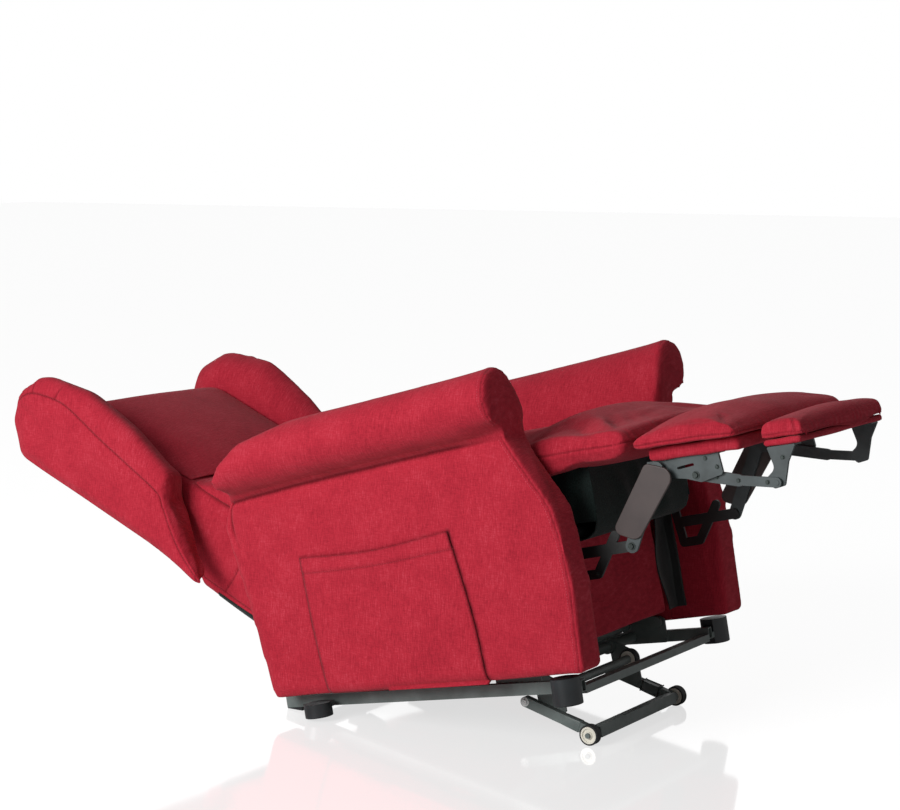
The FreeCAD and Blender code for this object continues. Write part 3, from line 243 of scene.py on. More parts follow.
def powderCoat(name, low, high):
    # Polyester powder baked on steel: a fine orange peel, satin, its shade and gloss a little uneven
    material, tree, shader = newMaterial(name, {"IOR": 1.5, "Metallic": 0.0})
    patch = evenNoise(tree, 0.045, 4.0)
    tint(tree, shader, patch, [(0.35, low), (0.7, high)])
    roughBetween(tree, shader, patch, 0.36, 0.56)
    bumpFrom(tree, shader, evenNoise(tree, 0.0016, 2.0), 0.25, 0.0002)
    return material


def mouldedPlastic(name, low, high, rough, grain, bumpHeight):
    # Injection moulded, with the fine spark-eroded grain of its tool
    material, tree, shader = newMaterial(name, {"IOR": 1.46, "Roughness": rough})
    tint(tree, shader, evenNoise(tree, 0.05, 3.0), [(0.3, low), (0.7, high)])
    bumpFrom(tree, shader, evenNoise(tree, grain, 2.0), 0.3, bumpHeight)
    return material


def drawnSteel(name, low, high, rough, streak):
    # Drawn steel, chrome plated or blackened: fine rings round the rod
    material, tree, shader = newMaterial(name, {"Metallic": 1.0})
    rings = noiseOver(tree, streak, threadWay, 2.0)
    tint(tree, shader, rings, [(0.3, low), (0.7, high)])
    roughBetween(tree, shader, rings, rough, rough + 0.15)
    return material


def sawnWood():
    # Pine bars of the frame, sawn and unfinished: pale grain along each bar
    material, tree, shader = newMaterial("sawnPine", {"Roughness": 0.75})
    where = mapped(tree, (40, 6, 40), threadWay)
    grain = addNode(tree, "ShaderNodeTexWave", {"bands_direction": "X"},
                    {"Scale": 1.2, "Distortion": 6.0, "Detail": 3.0}, {"Vector": where.outputs["Vector"]})
    grain = grain.outputs["Fac"]
    tint(tree, shader, grain, [(0.1, "#A97B49"), (0.9, "#D9B27C")])
    bumpFrom(tree, shader, grain, 0.3, 0.0004)
    return material


materials = {
    "red": redWeave,
    "dark": darkCloth,
    "elastic": elasticKnit(),
    "basePaint": powderCoat("greyGreenPowderCoat", "#57605E", "#6C7573"),
    "linkPaint": powderCoat("darkPowderCoat", "#2E3637", "#464F50"),
    "bright": drawnSteel("chromedSteel", "#8E9190", "#C9CBCA", 0.16, (900, 900, 60)),
    "feet": mouldedPlastic("blackPolypropylene", "#15181A", "#22272A", 0.38, 0.0012, 0.0001),
    "drive": mouldedPlastic("blackAbs", "#0E1011", "#191C1E", 0.5, 0.0009, 0.0002),
    "cover": mouldedPlastic("taupePolypropylene", "#3B3231", "#463C3A", 0.46, 0.001, 0.0001),
    # a near-black copy of the powder coat for the steel under the seat: painted shade
    "paintedShadeCoat": powderCoat("paintedShadePowderCoat", "#0B0E0E", "#141818"),
    "blackened": drawnSteel("blackenedSteel", "#2E3332", "#4A504E", 0.42, (500, 500, 500)),
    "hub": mouldedPlastic("creamNylon", "#D2CEC0", "#E4E0D4", 0.4, 0.0015, 0.0001),
    "tyre": mouldedPlastic("blackRubber", "#131415", "#202224", 0.75, 0.0008, 0.0002),
    "cap": mouldedPlastic("whitePolyethylene", "#DADCDB", "#ECEDEC", 0.4, 0.001, 0.0001),
    "wood": sawnWood(),
}

slotFinish = {
    "foot_plastic": "feet", "base_paint": "basePaint", "bright_steel": "bright", "drive_plastic": "drive",
    "red_fabric": "red", "frame_wood": "wood", "link_paint": "linkPaint", "dark_fabric": "dark",
    "cover_plastic": "cover", "roller_rubber": "tyre", "hub_plastic": "hub",
}


# steel that looks black under the seat, where it sits in shade: given a near-black powder coat, painted shade
paintedShadeNodes = ("swing_brackets", "carriage_plates", "slide_rails", "slide_runners", "back_brackets")


def paintNodes():
    for part in frame["record"]["subparts"]:
        obj = frame["nodes"][part["node"]]
        finish = "paintedShadeCoat" if part["node"] in paintedShadeNodes else slotFinish[part["material_slot"]]
        obj.data.materials.clear()
        obj.data.materials.append(materials[finish])


paintNodes()
print("materials made")


# mesh helpers
def readAll(items, key, width, kind=float):
    flat = np.empty(len(items) * width, kind)
    items.foreach_get(key, flat)
    return flat.reshape(-1, width)


def getPoints(mesh):
    return readAll(mesh.vertices, "co", 3)


def getNormals(mesh):
    return readAll(mesh.vertices, "normal", 3)


def getEdges(mesh):
    return readAll(mesh.edges, "vertices", 2, np.int64)


def setPoints(mesh, points):
    mesh.vertices.foreach_set("co", points.astype(np.float32).ravel())
    mesh.update()


def rework(mesh, change):
    # runs a change on the mesh in its editable form
    bm = bmesh.new()
    bm.from_mesh(mesh)
    change(bm)
    bm.to_mesh(mesh)
    bm.free()


def facesOut(mesh):
    rework(mesh, lambda bm: bmesh.ops.recalc_face_normals(bm, faces=bm.faces))


def evaluated(obj):
    return bpy.data.meshes.new_from_object(obj.evaluated_get(bpy.context.evaluated_depsgraph_get()))


def withModifier(obj, kind, settings):
    # gives the object's mesh with one modifier applied
    modifier = obj.modifiers.new(kind.lower(), kind)
    for key, value in settings.items():
        setattr(modifier, key, value)
    old = obj.data
    mesh = evaluated(obj)
    obj.modifiers.remove(modifier)
    obj.data = mesh
    bpy.data.meshes.remove(old)


def outerShell(name, turn):
    # the node's outer skin, in a local frame; hollows inside it are left out
    bm = bmesh.new()
    bm.from_mesh(frame["nodes"][name].data)
    bmesh.ops.remove_doubles(bm, verts=bm.verts, dist=0.00002)
    unseen, islands = set(bm.verts), []
    while unseen:
        stack, island = [unseen.pop()], []
        while stack:
            vert = stack.pop()
            island.append(vert)
            for edge in vert.link_edges:
                other = edge.other_vert(vert)
                if other in unseen:
                    unseen.discard(other)
                    stack.append(other)
        islands.append(island)
    span = [max(v.co.z for v in island) - min(v.co.z for v in island) for island in islands]
    keep = span.index(max(span))
    for i, island in enumerate(islands):
        if i != keep:
            bmesh.ops.delete(bm, geom=island, context="VERTS")
    bm.transform(turn.inverted())
    mesh = bpy.data.meshes.new(name + "Shell")
    bm.to_mesh(mesh)
    bm.free()
    return newObject(name + "Shell", mesh)


def smoothPoints(mesh, points, times, share=0.5):
    edges = getEdges(mesh)
    count = np.bincount(edges.ravel(), minlength=len(points)).astype(float)[:, None]
    for _ in range(times):
        total = np.zeros_like(points)
        np.add.at(total, edges[:, 0], points[edges[:, 1]])
        np.add.at(total, edges[:, 1], points[edges[:, 0]])
        points = points + (total / count - points) * share
    return points


def curveThrough(corners, step=0.003):
    # a smooth line through the corners, as closely spaced points
    corners = np.array(corners, float)
    ends = np.vstack([2 * corners[0] - corners[1], corners, 2 * corners[-1] - corners[-2]])
    out = []
    for i in range(1, len(ends) - 2):
        a, b, c, d = ends[i - 1:i + 3]
        parts = max(2, int(np.linalg.norm(c - b) / step))
        for j in range(parts):
            t = j / parts
            out.append(0.5 * (2 * b + (c - a) * t + (2 * a - 5 * b + 4 * c - d) * t * t
                              + (3 * b - a - 3 * c + d) * t ** 3))
    out.append(corners[-1])
    return np.array(out)


def treeOf(mesh):
    return BVHTree.FromPolygons([v.co[:] for v in mesh.vertices], [p.vertices[:] for p in mesh.polygons])


def ontoSurface(tree, line, lift=0.0):
    # moves each point of a line to the nearest place on a surface
    out = []
    for point in line:
        place, normal, _, _ = tree.find_nearest(Vector(point))
        out.append(place + normal * lift)
    return np.array(out)


chunk = 4000  # points measured at one time, so that the table of distances stays small


def nearestOn(points, line):
    # distance from each point to the line, how far along the line that is, and the place on it
    along = np.concatenate([[0.0], np.cumsum(np.linalg.norm(np.diff(line, axis=0), axis=1))])
    best = np.full(len(points), 1e9)
    place = np.zeros(len(points))
    foot = np.array(points)
    low, high = line.min(0) - 0.06, line.max(0) + 0.06
    near = np.where(((points > low) & (points < high)).all(1))[0]
    for start in range(0, len(near), chunk):
        rows = near[start:start + chunk]
        gaps = np.linalg.norm(points[rows, None, :] - line[None, :, :], axis=2)
        which = gaps.argmin(1)
        best[rows] = gaps[np.arange(len(rows)), which]
        place[rows] = along[which]
        foot[rows] = line[which]
    return best, place, foot


def swell(obj, pins, piece):
    # cloth under air pressure, held at its seams; it moves out up to the cap and in by very little
    mesh = obj.data
    start = getPoints(mesh)
    normals = getNormals(mesh)
    group = obj.vertex_groups.new(name="held")
    for level in (0.25, 0.5, 0.75, 1.0):
        rows = np.where(pins > level - 0.125)[0]
        group.add(rows.tolist(), level, "REPLACE")
    modifier = obj.modifiers.new("cloth", "CLOTH")
    cloth = modifier.settings
    cloth.quality = 4
    cloth.use_pressure = True
    cloth.uniform_pressure_force = piece["pressure"]
    cloth.effector_weights.gravity = 0.0
    cloth.vertex_group_mass = "held"
    modifier.collision_settings.use_collision = False
    for step in range(1, 21):
        scene.frame_set(step)
    puffed = evaluated(obj)
    moved = getPoints(puffed)
    obj.modifiers.remove(modifier)
    obj.vertex_groups.clear()
    bpy.data.meshes.remove(puffed)
    scene.frame_set(1)
    way = moved - start
    out = (way * normals).sum(1)
    slide = way - normals * out[:, None]
    size = np.linalg.norm(slide, axis=1)[:, None]
    slide = slide * np.minimum(1.0, piece["slide"] / np.maximum(size, 1e-9))
    return start + slide + normals * np.clip(out, -piece["sink"], piece["cap"])[:, None]


# keeps, for each point, how strong the painted shade there is; the cloth shader darkens the colour by it
def setPaintedShade(mesh, values):
    mark = mesh.attributes.get("paintedShade") or mesh.attributes.new("paintedShade", "FLOAT", "POINT")
    mark.data.foreach_set("value", values.astype(np.float32))


def refineNear(mesh, lines, reach):
    # halves the edges beside the seams, so that a narrow fold can be drawn
    points = getPoints(mesh)
    close = np.zeros(len(points), bool)
    for line in lines:
        close |= nearestOn(points, line)[0] < reach

    def halve(bm):
        edges = [e for e in bm.edges if close[e.verts[0].index] and close[e.verts[1].index]]
        bmesh.ops.subdivide_edges(bm, edges=edges, cuts=1, use_grid_fill=True)

    rework(mesh, halve)
    mesh.update()


def cornerPoints(obj, chosen):
    # close points along the shell's sharp edges, where chosen says so
    bm = bmesh.new()
    bm.from_mesh(obj.data)
    out = []
    for edge in bm.edges:
        if len(edge.link_faces) == 2 and edge.calc_face_angle(0) > 0.6:
            a, b = edge.verts[0].co, edge.verts[1].co
            if chosen(a) and chosen(b):
                parts = max(1, int((b - a).length / 0.002))
                out += [a.lerp(b, i / parts)[:] for i in range(parts + 1)]
    bm.free()
    return np.array(out)


# how the seams are drawn: their usual sizes, and the reach of the work beside them
# a seam's "dark" value is the strength of the painted shade along its fold
seamBase = {"hold": 0.008, "width": 0.004, "depth": 0.003, "paintedShadeWidth": 0.0018, "dark": 0.7}
seamReach = {"refine": 0.007, "rest": 1.2, "edge": 0.62, "sharp": 0.85, "quickSwell": 0.35}


def pinCorners(mesh, corners, reach):
    # draws the points beside a sharp edge onto it and marks that edge so that it stays sharp
    points = getPoints(mesh)
    gap, _, foot = nearestOn(points, corners)
    held = gap < reach
    points[held] = foot[held]
    setPoints(mesh, points)
    mark = mesh.attributes.get("crease_edge") or mesh.attributes.new("crease_edge", "FLOAT", "EDGE")
    mark.data.foreach_set("value", (held[getEdges(mesh)].all(1) * seamReach["sharp"]).astype(np.float32))


def seamPress(points, seam):
    # how far a seam moves each point along its normal, and how strong the painted shade of its fold is there
    gap, along, foot = nearestOn(points, seam["line"])
    total = max(along.max(), 1e-6)
    strength = 1.0
    if "fade" in seam:  # the seam runs out before its last part
        strength = np.clip((total - along) / (total * seam["fade"]), 0.25, 1.0)
    valley = np.exp(-(gap / seam["width"]) ** 2) * strength
    # painted shade along the middle of the fold
    paintedShade = np.exp(-(gap / seam["paintedShadeWidth"]) ** 2) * strength * seam["dark"]
    move = -seam["depth"] * valley
    if "pucker" in seam:
        height, length, reach = seam["pucker"]
        ripple = np.sin(along * 2 * math.pi / length + 1.3 * np.sin(along * 37.0))
        ripple = ripple * (0.6 + 0.4 * np.sin(along * 61.0))
        if "side" in seam:
            ripple = ripple * (((points - foot) @ np.array(seam["side"])) > 0)
        move = move + height * ripple * np.exp(-gap / reach) * (1 - valley)
    return move, paintedShade


def softPiece(piece, shape=None, keep=None, shell=None, corners=None):
    # remeshes a node's skin, swells it between its seams, then sinks the seams
    obj = shell or outerShell(piece["node"], piece["turn"])
    if corners is None and "corner" in piece:
        corners = cornerPoints(obj, piece["corner"])
    if shape:
        setPoints(obj.data, shape(getPoints(obj.data)))
    withModifier(obj, "REMESH", {"mode": "VOXEL", "voxel_size": piece["voxel"], "use_smooth_shade": True})
    tree = treeOf(obj.data)
    seams = [seamBase | seam | {"line": ontoSurface(tree, curveThrough(seam["corners"]))} for seam in piece["seams"]]
    points = getPoints(obj.data)
    pins = np.zeros(len(points))
    for seam in seams:
        gap, _, _ = nearestOn(points, seam["line"])
        pins = np.maximum(pins, np.exp(-(gap / seam["hold"]) ** 2))
    for axis, place in piece.get("flat", []):  # planes where the piece rests
        pins = np.maximum(pins, (np.abs(points[:, axis] - place) < piece["voxel"] * seamReach["rest"]).astype(float))
    points = smoothPoints(obj.data, points, piece["soften"])
    setPoints(obj.data, points)
    points = points - getNormals(obj.data) * piece["shrink"] * (1 - pins)[:, None]
    setPoints(obj.data, points)
    points = swell(obj, pins, piece)
    points = smoothPoints(obj.data, points, 2, 0.4)
    setPoints(obj.data, points)
    if corners is not None:
        pinCorners(obj.data, corners, piece["voxel"] * seamReach["edge"])
    withModifier(obj, "SUBSURF", {"levels": 1, "render_levels": 1})
    tree = treeOf(obj.data)
    for seam in seams:
        seam["line"] = ontoSurface(tree, seam["line"])
    refineNear(obj.data, [seam["line"] for seam in seams], seamReach["refine"])
    points = getPoints(obj.data)
    normals = getNormals(obj.data)
    move = np.zeros(len(points))
    # the painted shade of the seam folds, the strongest of any seam at each point
    paintedShade = np.zeros(len(points))
    for seam in seams:
        press, dark = seamPress(points, seam)
        move += press
        paintedShade = np.maximum(paintedShade, dark)
    for fold in piece.get("folds", []):
        line = ontoSurface(tree, curveThrough(fold["corners"]))
        gap, along, _ = nearestOn(points, line)
        total = along.max() if along.max() > 0 else 1.0
        fade = np.sin(np.clip(along / total, 0, 1) * math.pi) ** 0.5
        move += fold["height"] * np.exp(-(gap / fold["width"]) ** 2) * fade
    for wave in piece["waves"]:
        phase = points @ np.array(wave["way"]) * 2 * math.pi
        move += wave["height"] * np.sin(phase + 1.5 * np.sin(points @ np.array(wave["drift"])))
    points = points + normals * move[:, None]
    if keep:
        points = keep(points)
    setPoints(obj.data, points)
    setPaintedShade(obj.data, paintedShade)
    tree = treeOf(obj.data)
    for seam in seams:
        line = np.array(seam["line"])
        seam["line"] = ontoSurface(tree, keep(line) if keep else line, 0.0002)
    return obj, seams


def moveMesh(mesh, turn):
    mesh.transform(turn)
    if turn.determinant() < 0:
        mesh.flip_normals()


def finishPiece(obj, name, piece, turn=None):
    # puts a local piece in its place and gives it its name, finish and body
    turn = piece["turn"] if turn is None else turn
    obj.name = name
    obj.data.name = name
    moveMesh(obj.data, turn)
    obj.data.materials.clear()
    obj.data.materials.append(materials[piece["material"]])
    for face in obj.data.polygons:
        face.use_smooth = True
    if "body" in piece:
        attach(obj, piece["body"])
    if "node" in piece:
        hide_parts(piece["node"])


def finishSheet(obj, name, piece):
    finishPiece(obj, name, piece)


def copyOf(obj):
    twin = bpy.data.objects.new(obj.name + "Twin", obj.data.copy())
    scene.collection.objects.link(twin)
    return twin


mirrorOver = Matrix.Scale(-1, 4, (1, 0, 0))
leftRight = ((1, "Left"), (-1, "Right"))


def bothSides(seam):
    # a seam of the left side and its mirror image
    return [seam | {"corners": [(side * x, y, z) for x, y, z in seam["corners"]]} for side in (-1, 1)]


def acrossLine(right, middle):
    # a line from the right over the middle to the same places on the left
    return right + [middle] + [(-x, y, z) for x, y, z in reversed(right)]


# trees of nodes for what repeats
def newTree(name, inputs):
    tree = bpy.data.node_groups.new(name, "GeometryNodeTree")
    tree.interface.new_socket("Geometry", in_out="INPUT", socket_type="NodeSocketGeometry")
    for label, kind in inputs:
        tree.interface.new_socket(label, in_out="INPUT", socket_type=kind)
    tree.interface.new_socket("Geometry", in_out="OUTPUT", socket_type="NodeSocketGeometry")
    return tree, tree.nodes.new("NodeGroupInput"), tree.nodes.new("NodeGroupOutput")


def makeStitchTree():
    tree, given, result = newTree("stitchRow", [("Spacing", "NodeSocketFloat"), ("Stitch", "NodeSocketVector"),
                                                ("Thread", "NodeSocketMaterial")])
    curve = addNode(tree, "GeometryNodeMeshToCurve", None, None, {"Mesh": given.outputs["Geometry"]})
    even = addNode(tree, "GeometryNodeResampleCurve", {"mode": "LENGTH"}, None,
                   {"Curve": curve.outputs[0], "Length": given.outputs["Spacing"]})
    tangent = addNode(tree, "GeometryNodeInputTangent")
    aim = addNode(tree, "FunctionNodeAlignRotationToVector", {"axis": "X"}, None, {"Vector": tangent.outputs[0]})
    bead = addNode(tree, "GeometryNodeMeshUVSphere", None, {"Segments": 6, "Rings": 4, "Radius": 0.5})
    row = addNode(tree, "GeometryNodeInstanceOnPoints", None, None,
                  {"Points": even.outputs[0], "Instance": bead.outputs["Mesh"], "Rotation": aim.outputs[0],
                   "Scale": given.outputs["Stitch"]})
    real = addNode(tree, "GeometryNodeRealizeInstances", None, None, {0: row.outputs[0]})
    smooth = addNode(tree, "GeometryNodeSetShadeSmooth", None, None, {0: real.outputs[0]})
    dyed = addNode(tree, "GeometryNodeSetMaterial", None, None,
                   {"Geometry": smooth.outputs[0], "Material": given.outputs["Thread"]})
    tree.links.new(dyed.outputs[0], result.inputs[0])
    return tree


def makeFastenerTree():
    tree, given, result = newTree("fasteners", [("Sides", "NodeSocketInt"), ("Radius", "NodeSocketFloat"),
                                                ("Height", "NodeSocketFloat"), ("Metal", "NodeSocketMaterial")])
    side = addNode(tree, "GeometryNodeInputNamedAttribute", {"data_type": "FLOAT_VECTOR"}, {"Name": "aim"})
    aim = addNode(tree, "FunctionNodeAlignRotationToVector", {"axis": "Z"}, None, {"Vector": side.outputs[0]})
    flare = mathNode(tree, "MULTIPLY", given.outputs["Radius"], 1.35)
    crown = mathNode(tree, "MULTIPLY", given.outputs["Radius"], 0.8)
    thin = mathNode(tree, "MULTIPLY", given.outputs["Height"], 0.3)
    head = addNode(tree, "GeometryNodeMeshCone", None, None,
                   {"Vertices": given.outputs["Sides"], "Radius Top": crown, "Radius Bottom": given.outputs["Radius"],
                    "Depth": given.outputs["Height"]})
    washer = addNode(tree, "GeometryNodeMeshCylinder", None, {"Vertices": 20}, {"Radius": flare, "Depth": thin})
    both = addNode(tree, "GeometryNodeJoinGeometry")
    tree.links.new(head.outputs["Mesh"], both.inputs[0])
    tree.links.new(washer.outputs["Mesh"], both.inputs[0])
    spread = addNode(tree, "GeometryNodeInstanceOnPoints", None, None,
                     {"Points": given.outputs["Geometry"], "Instance": both.outputs[0], "Rotation": aim.outputs[0]})
    real = addNode(tree, "GeometryNodeRealizeInstances", None, None, {0: spread.outputs[0]})
    plated = addNode(tree, "GeometryNodeSetMaterial", None, None,
                     {"Geometry": real.outputs[0], "Material": given.outputs["Metal"]})
    tree.links.new(plated.outputs[0], result.inputs[0])
    return tree


def grow(name, tree, mesh, inputs):
    # runs a tree on a mesh and gives its result as a plain object
    seed = newObject(name + "Seed", mesh)
    modifier = seed.modifiers.new("tree", "NODES")
    modifier.node_group = tree
    for item in tree.interface.items_tree:
        if item.item_type == "SOCKET" and item.in_out == "INPUT" and item.name in inputs:
            modifier[item.identifier] = inputs[item.name]
    made = evaluated(seed)
    bpy.data.objects.remove(seed)
    return newObject(name, made)


def lineMesh(lines):
    verts, edges = [], []
    for line in lines:
        first = len(verts)
        verts += [tuple(p) for p in line]
        edges += [(first + i, first + i + 1) for i in range(len(line) - 1)]
    mesh = bpy.data.meshes.new("lines")
    mesh.from_pydata(verts, edges, [])
    return mesh


stitchTree = makeStitchTree()
fastenerTree = makeFastenerTree()
thread = {"spacing": 0.0052, "length": 0.0036, "width": 0.0009}
materials["thread"] = mouldedPlastic("redPolyesterThread", "#B8394C", "#CE5668", 0.6, 0.0005, 0.0001)
materials["darkThread"] = mouldedPlastic("darkRedThread", "#8C1C2C", "#A22A3B", 0.6, 0.0005, 0.0001)


def stitches(name, lines, body, turn, colour="thread"):
    obj = grow(name, stitchTree, lineMesh(lines),
               {"Spacing": thread["spacing"], "Stitch": (thread["length"], thread["width"], thread["width"]),
                "Thread": materials[colour]})
    moveMesh(obj.data, turn)
    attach(obj, body)


def gridOf(rows, columns, place):
    # a grid of points from place(across, up), both from 0 to 1
    return np.array([[place(c / (columns - 1), r / (rows - 1)) for c in range(columns)] for r in range(rows)])


def sheetMesh(name, grid, thick, even=True, hole=None):
    # a quad sheet from a grid of points, given a thickness both ways; the hole has a half width, a low and a high end
    rows, columns = grid.shape[:2]
    faces = []
    for r in range(rows - 1):
        for c in range(columns - 1):
            middle = (grid[r, c] + grid[r + 1, c + 1]) / 2
            if not (hole and abs(middle[0]) < hole[0] and hole[1] < middle[2] < hole[2]):
                faces.append((r * columns + c, r * columns + c + 1, (r + 1) * columns + c + 1, (r + 1) * columns + c))
    mesh = bpy.data.meshes.new(name)
    mesh.from_pydata([tuple(p) for p in grid.reshape(-1, 3)], [], faces)
    rework(mesh, lambda bm: bmesh.ops.delete(bm, geom=[v for v in bm.verts if not v.link_faces], context="VERTS"))
    obj = newObject(name, mesh)
    withModifier(obj, "SOLIDIFY", {"thickness": thick, "offset": 0.0, "use_even_offset": even})
    facesOut(obj.data)
    return obj


# what the padded covers share, each grown from its CAD solid, and what the dark cloths share
softBack = {"body": "backrest", "slot": "red_fabric", "material": "red", "turn": backTurn, "sink": 0.002,
            "slide": 0.004, "pressure": 4.0, "soften": 3}
softSeat = softBack | {"turn": chairTurn, "fill": 0.75}
darkSheet = {"body": "carriage", "slot": "dark_fabric", "material": "dark", "turn": chairTurn}


# arms: a flat padded panel under a rolled top, made for the sitter's right and mirrored
underRoll = [(-0.338, 0.276, 0.484), (-0.338, 0.1, 0.500), (-0.338, -0.1, 0.514), (-0.338, -0.25, 0.524),
             (-0.338, -0.395, 0.531)]
rollSide = [(-0.338 - 0.0575 * math.sin(a), -0.406, 0.607 - 0.0575 * math.cos(a)) for a in
            [math.radians(v) for v in range(25, 215, 15)]]
frontEdge = [(-0.338, -0.476, 0.086), (-0.338, -0.485, 0.25), (-0.338, -0.473, 0.38), (-0.338, -0.44, 0.448),
             (-0.338, -0.413, 0.495), (-0.338, -0.396, 0.528)]
arm = softSeat | {
    "node": "arm_right", "body": "chair", "voxel": 0.0085, "shrink": 0.002, "cap": 0.005, "sink": 0.0005,
    "slide": 0.0008, "pressure": 3.0, "fill": 0.8, "soften": 1, "corner": lambda p: p.y < -0.395 and p.z < 0.66,
    "seams": [
        {"corners": underRoll, "hold": 0.010, "width": 0.0050, "depth": 0.0065, "fade": 0.16, "paintedShadeWidth": 0.003,
         "dark": 0.85, "pucker": (0.0005, 0.027, 0.018)},
        {"corners": rollSide, "hold": 0.012, "width": 0.0028, "depth": 0.0014, "dark": 0.55},
        {"corners": frontEdge, "hold": 0.012, "width": 0.0028, "depth": 0.0014, "dark": 0.55,
         "pucker": (0.0003, 0.013, 0.010)},
        {"corners": [(-0.337, 0.272, 0.484), (-0.337, 0.276, 0.452), (-0.337, 0.272, 0.42), (-0.337, 0.262, 0.395)],
         "width": 0.0055, "depth": 0.005, "fade": 0.5, "paintedShadeWidth": 0.003},
        {"corners": [(-0.258, -0.41, 0.50), (-0.262, -0.2, 0.50), (-0.262, 0.1, 0.49), (-0.262, 0.25, 0.47)],
         "hold": 0.008, "width": 0.004, "depth": 0.001, "dark": 0.4},
    ],
    "waves": [{"way": (0, 2.1, 3.3), "drift": (0, 9.0, 5.0), "height": 0.0009},
              {"way": (0, -4.2, 1.9), "drift": (0, 6.0, 11.0), "height": 0.0005}],
}


def bluntRear(points):
    # the roll ends in a blunt round shoulder behind
    y = points[:, 1]
    past = np.maximum(y - 0.232, 0)
    high = np.clip((points[:, 2] - 0.470) / 0.02, 0, 1)
    points[:, 1] = y - high * (past - 0.042 * np.tanh(past / 0.042))
    return points


def keepArm(points):
    # flat inside beside the seat, level underneath
    points[:, 0] = np.where(points[:, 2] < 0.5, np.minimum(points[:, 0], -0.2556), points[:, 0])
    points[:, 0] = np.maximum(points[:, 0], -0.4035)
    points[:, 2] = np.maximum(points[:, 2], 0.0815)
    return points


def makeArms():
    obj, seams = softPiece(arm, bluntRear, keepArm)
    surface = treeOf(obj.data)
    beside = [ontoSurface(surface, [(x, y + 0.007, z) for x, y, z in seams[i]["line"]], 0.0002) for i in (1, 2)]
    twin = copyOf(obj)
    finishPiece(obj, "armRightCover", arm)
    finishPiece(twin, "armLeftCover", arm | {"node": "arm_left"}, chairTurn @ mirrorOver)
    stitches("armRightStitches", beside, "chair", chairTurn)
    stitches("armLeftStitches", beside, "chair", chairTurn @ mirrorOver)
    return surface, obj


armSurface, armRightCover = makeArms()
print("arms made")


# side pocket: a patch of the same cloth, its turned-over hem sagging and gaping a little
pocket = {
    "body": "chair", "slot": "red_fabric", "material": "red", "node": "side_pocket", "turn": chairTurn,
    "topRear": (0.112, 0.360), "topFront": (-0.244, 0.375), "lowRear": (0.099, 0.087), "lowFront": (-0.277, 0.081),
    "sag": 0.010, "gape": 0.0075, "bulge": 0.0050, "height": 0.285, "hem": 0.030, "thick": 0.0018,
    "flat": (0.365, 0.292), "rests": ["armRightCover"], "across": 70, "up": 62,
}
pocketCorner = {k: np.array(pocket[k]) for k in ("topRear", "topFront", "lowRear", "lowFront")}


def pocketPoint(u, v):
    low = pocketCorner["lowRear"] * (1 - u) + pocketCorner["lowFront"] * u
    high = pocketCorner["topRear"] * (1 - u) + pocketCorner["topFront"] * u
    place = low * (1 - v) + high * v
    belly = math.sin(math.pi * u)
    y = place[0] + 0.006 * math.sin(math.pi * v) * (0.5 if u < 0.5 else -1.0) * abs(2 * u - 1)
    z = place[1] - pocket["sag"] * belly ** 1.3 * v ** 4
    hit = armSurface.ray_cast(Vector((-0.6, y, z)), Vector((1, 0, 0)))
    skin = hit[0].x if hit[0] else -0.336
    drop = (1 - v) * pocket["height"]
    out = 0.0014 + pocket["bulge"] * belly ** 0.6 * math.sin(math.pi * min(1, v * 1.05)) ** 0.6
    out += pocket["gape"] * belly ** 0.8 * max(0.0, v - 0.72) / 0.28
    out += 0.0016 if drop < pocket["hem"] else 0.0  # the hem is two layers thick
    out -= 0.0009 * math.exp(-((drop - pocket["hem"] - 0.002) / 0.003) ** 2)
    out += 0.0006 * math.sin(30 * y + 9 * math.sin(14 * z)) * belly
    return skin - out, y, z


def makePocket():
    grid = gridOf(pocket["up"], pocket["across"], pocketPoint)
    obj = sheetMesh("pocketPanel", grid, pocket["thick"])
    finishSheet(obj, "pocketPanel", pocket)
    hemRow = int((1 - pocket["hem"] / pocket["height"]) * (pocket["up"] - 1))
    outward = np.array([-0.0011, 0, 0])
    sides = [grid[:, 1] + outward, grid[:, -2] + outward, grid[hemRow] + outward]
    stitches("pocketStitches", sides, "chair", chairTurn, "darkThread")
    # painted shade along the panel's own edges, top and hem, and painted shadow that they lay on the arm behind
    local = chairTurn.inverted()
    points = np.array([local @ v.co for v in obj.data.vertices])
    edge = np.minimum(nearestOn(points, grid[:, 0])[0], nearestOn(points, grid[:, -1])[0])
    top = nearestOn(points, grid[-1])[0]
    hem = nearestOn(points, grid[hemRow])[0]
    setPaintedShade(obj.data, np.clip(0.9 * np.exp(-(edge / 0.0018) ** 2) + 0.6 * np.exp(-(top / 0.0016) ** 2)
                                + 0.28 * np.exp(-(hem / 0.003) ** 2), 0, 1))
    points = np.array([local @ v.co for v in armRightCover.data.vertices])
    mark = armRightCover.data.attributes["paintedShade"]
    had = np.empty(len(points), np.float32)
    mark.data.foreach_get("value", had)
    surface = treeOf(armRightCover.data)
    for line, width, dark in ((grid[:, 0], 0.0035, 0.75), (grid[:, -1], 0.0045, 0.95), (grid[-1], 0.0035, 0.5)):
        world = [chairTurn @ Vector(q) for q in line]
        onArm = np.array([local @ Vector(q) for q in ontoSurface(surface, world)])
        had = np.maximum(had, dark * np.exp(-(nearestOn(points, onArm)[0] / width) ** 2))
    setPaintedShade(armRightCover.data, had)


makePocket()
print("pocket made")


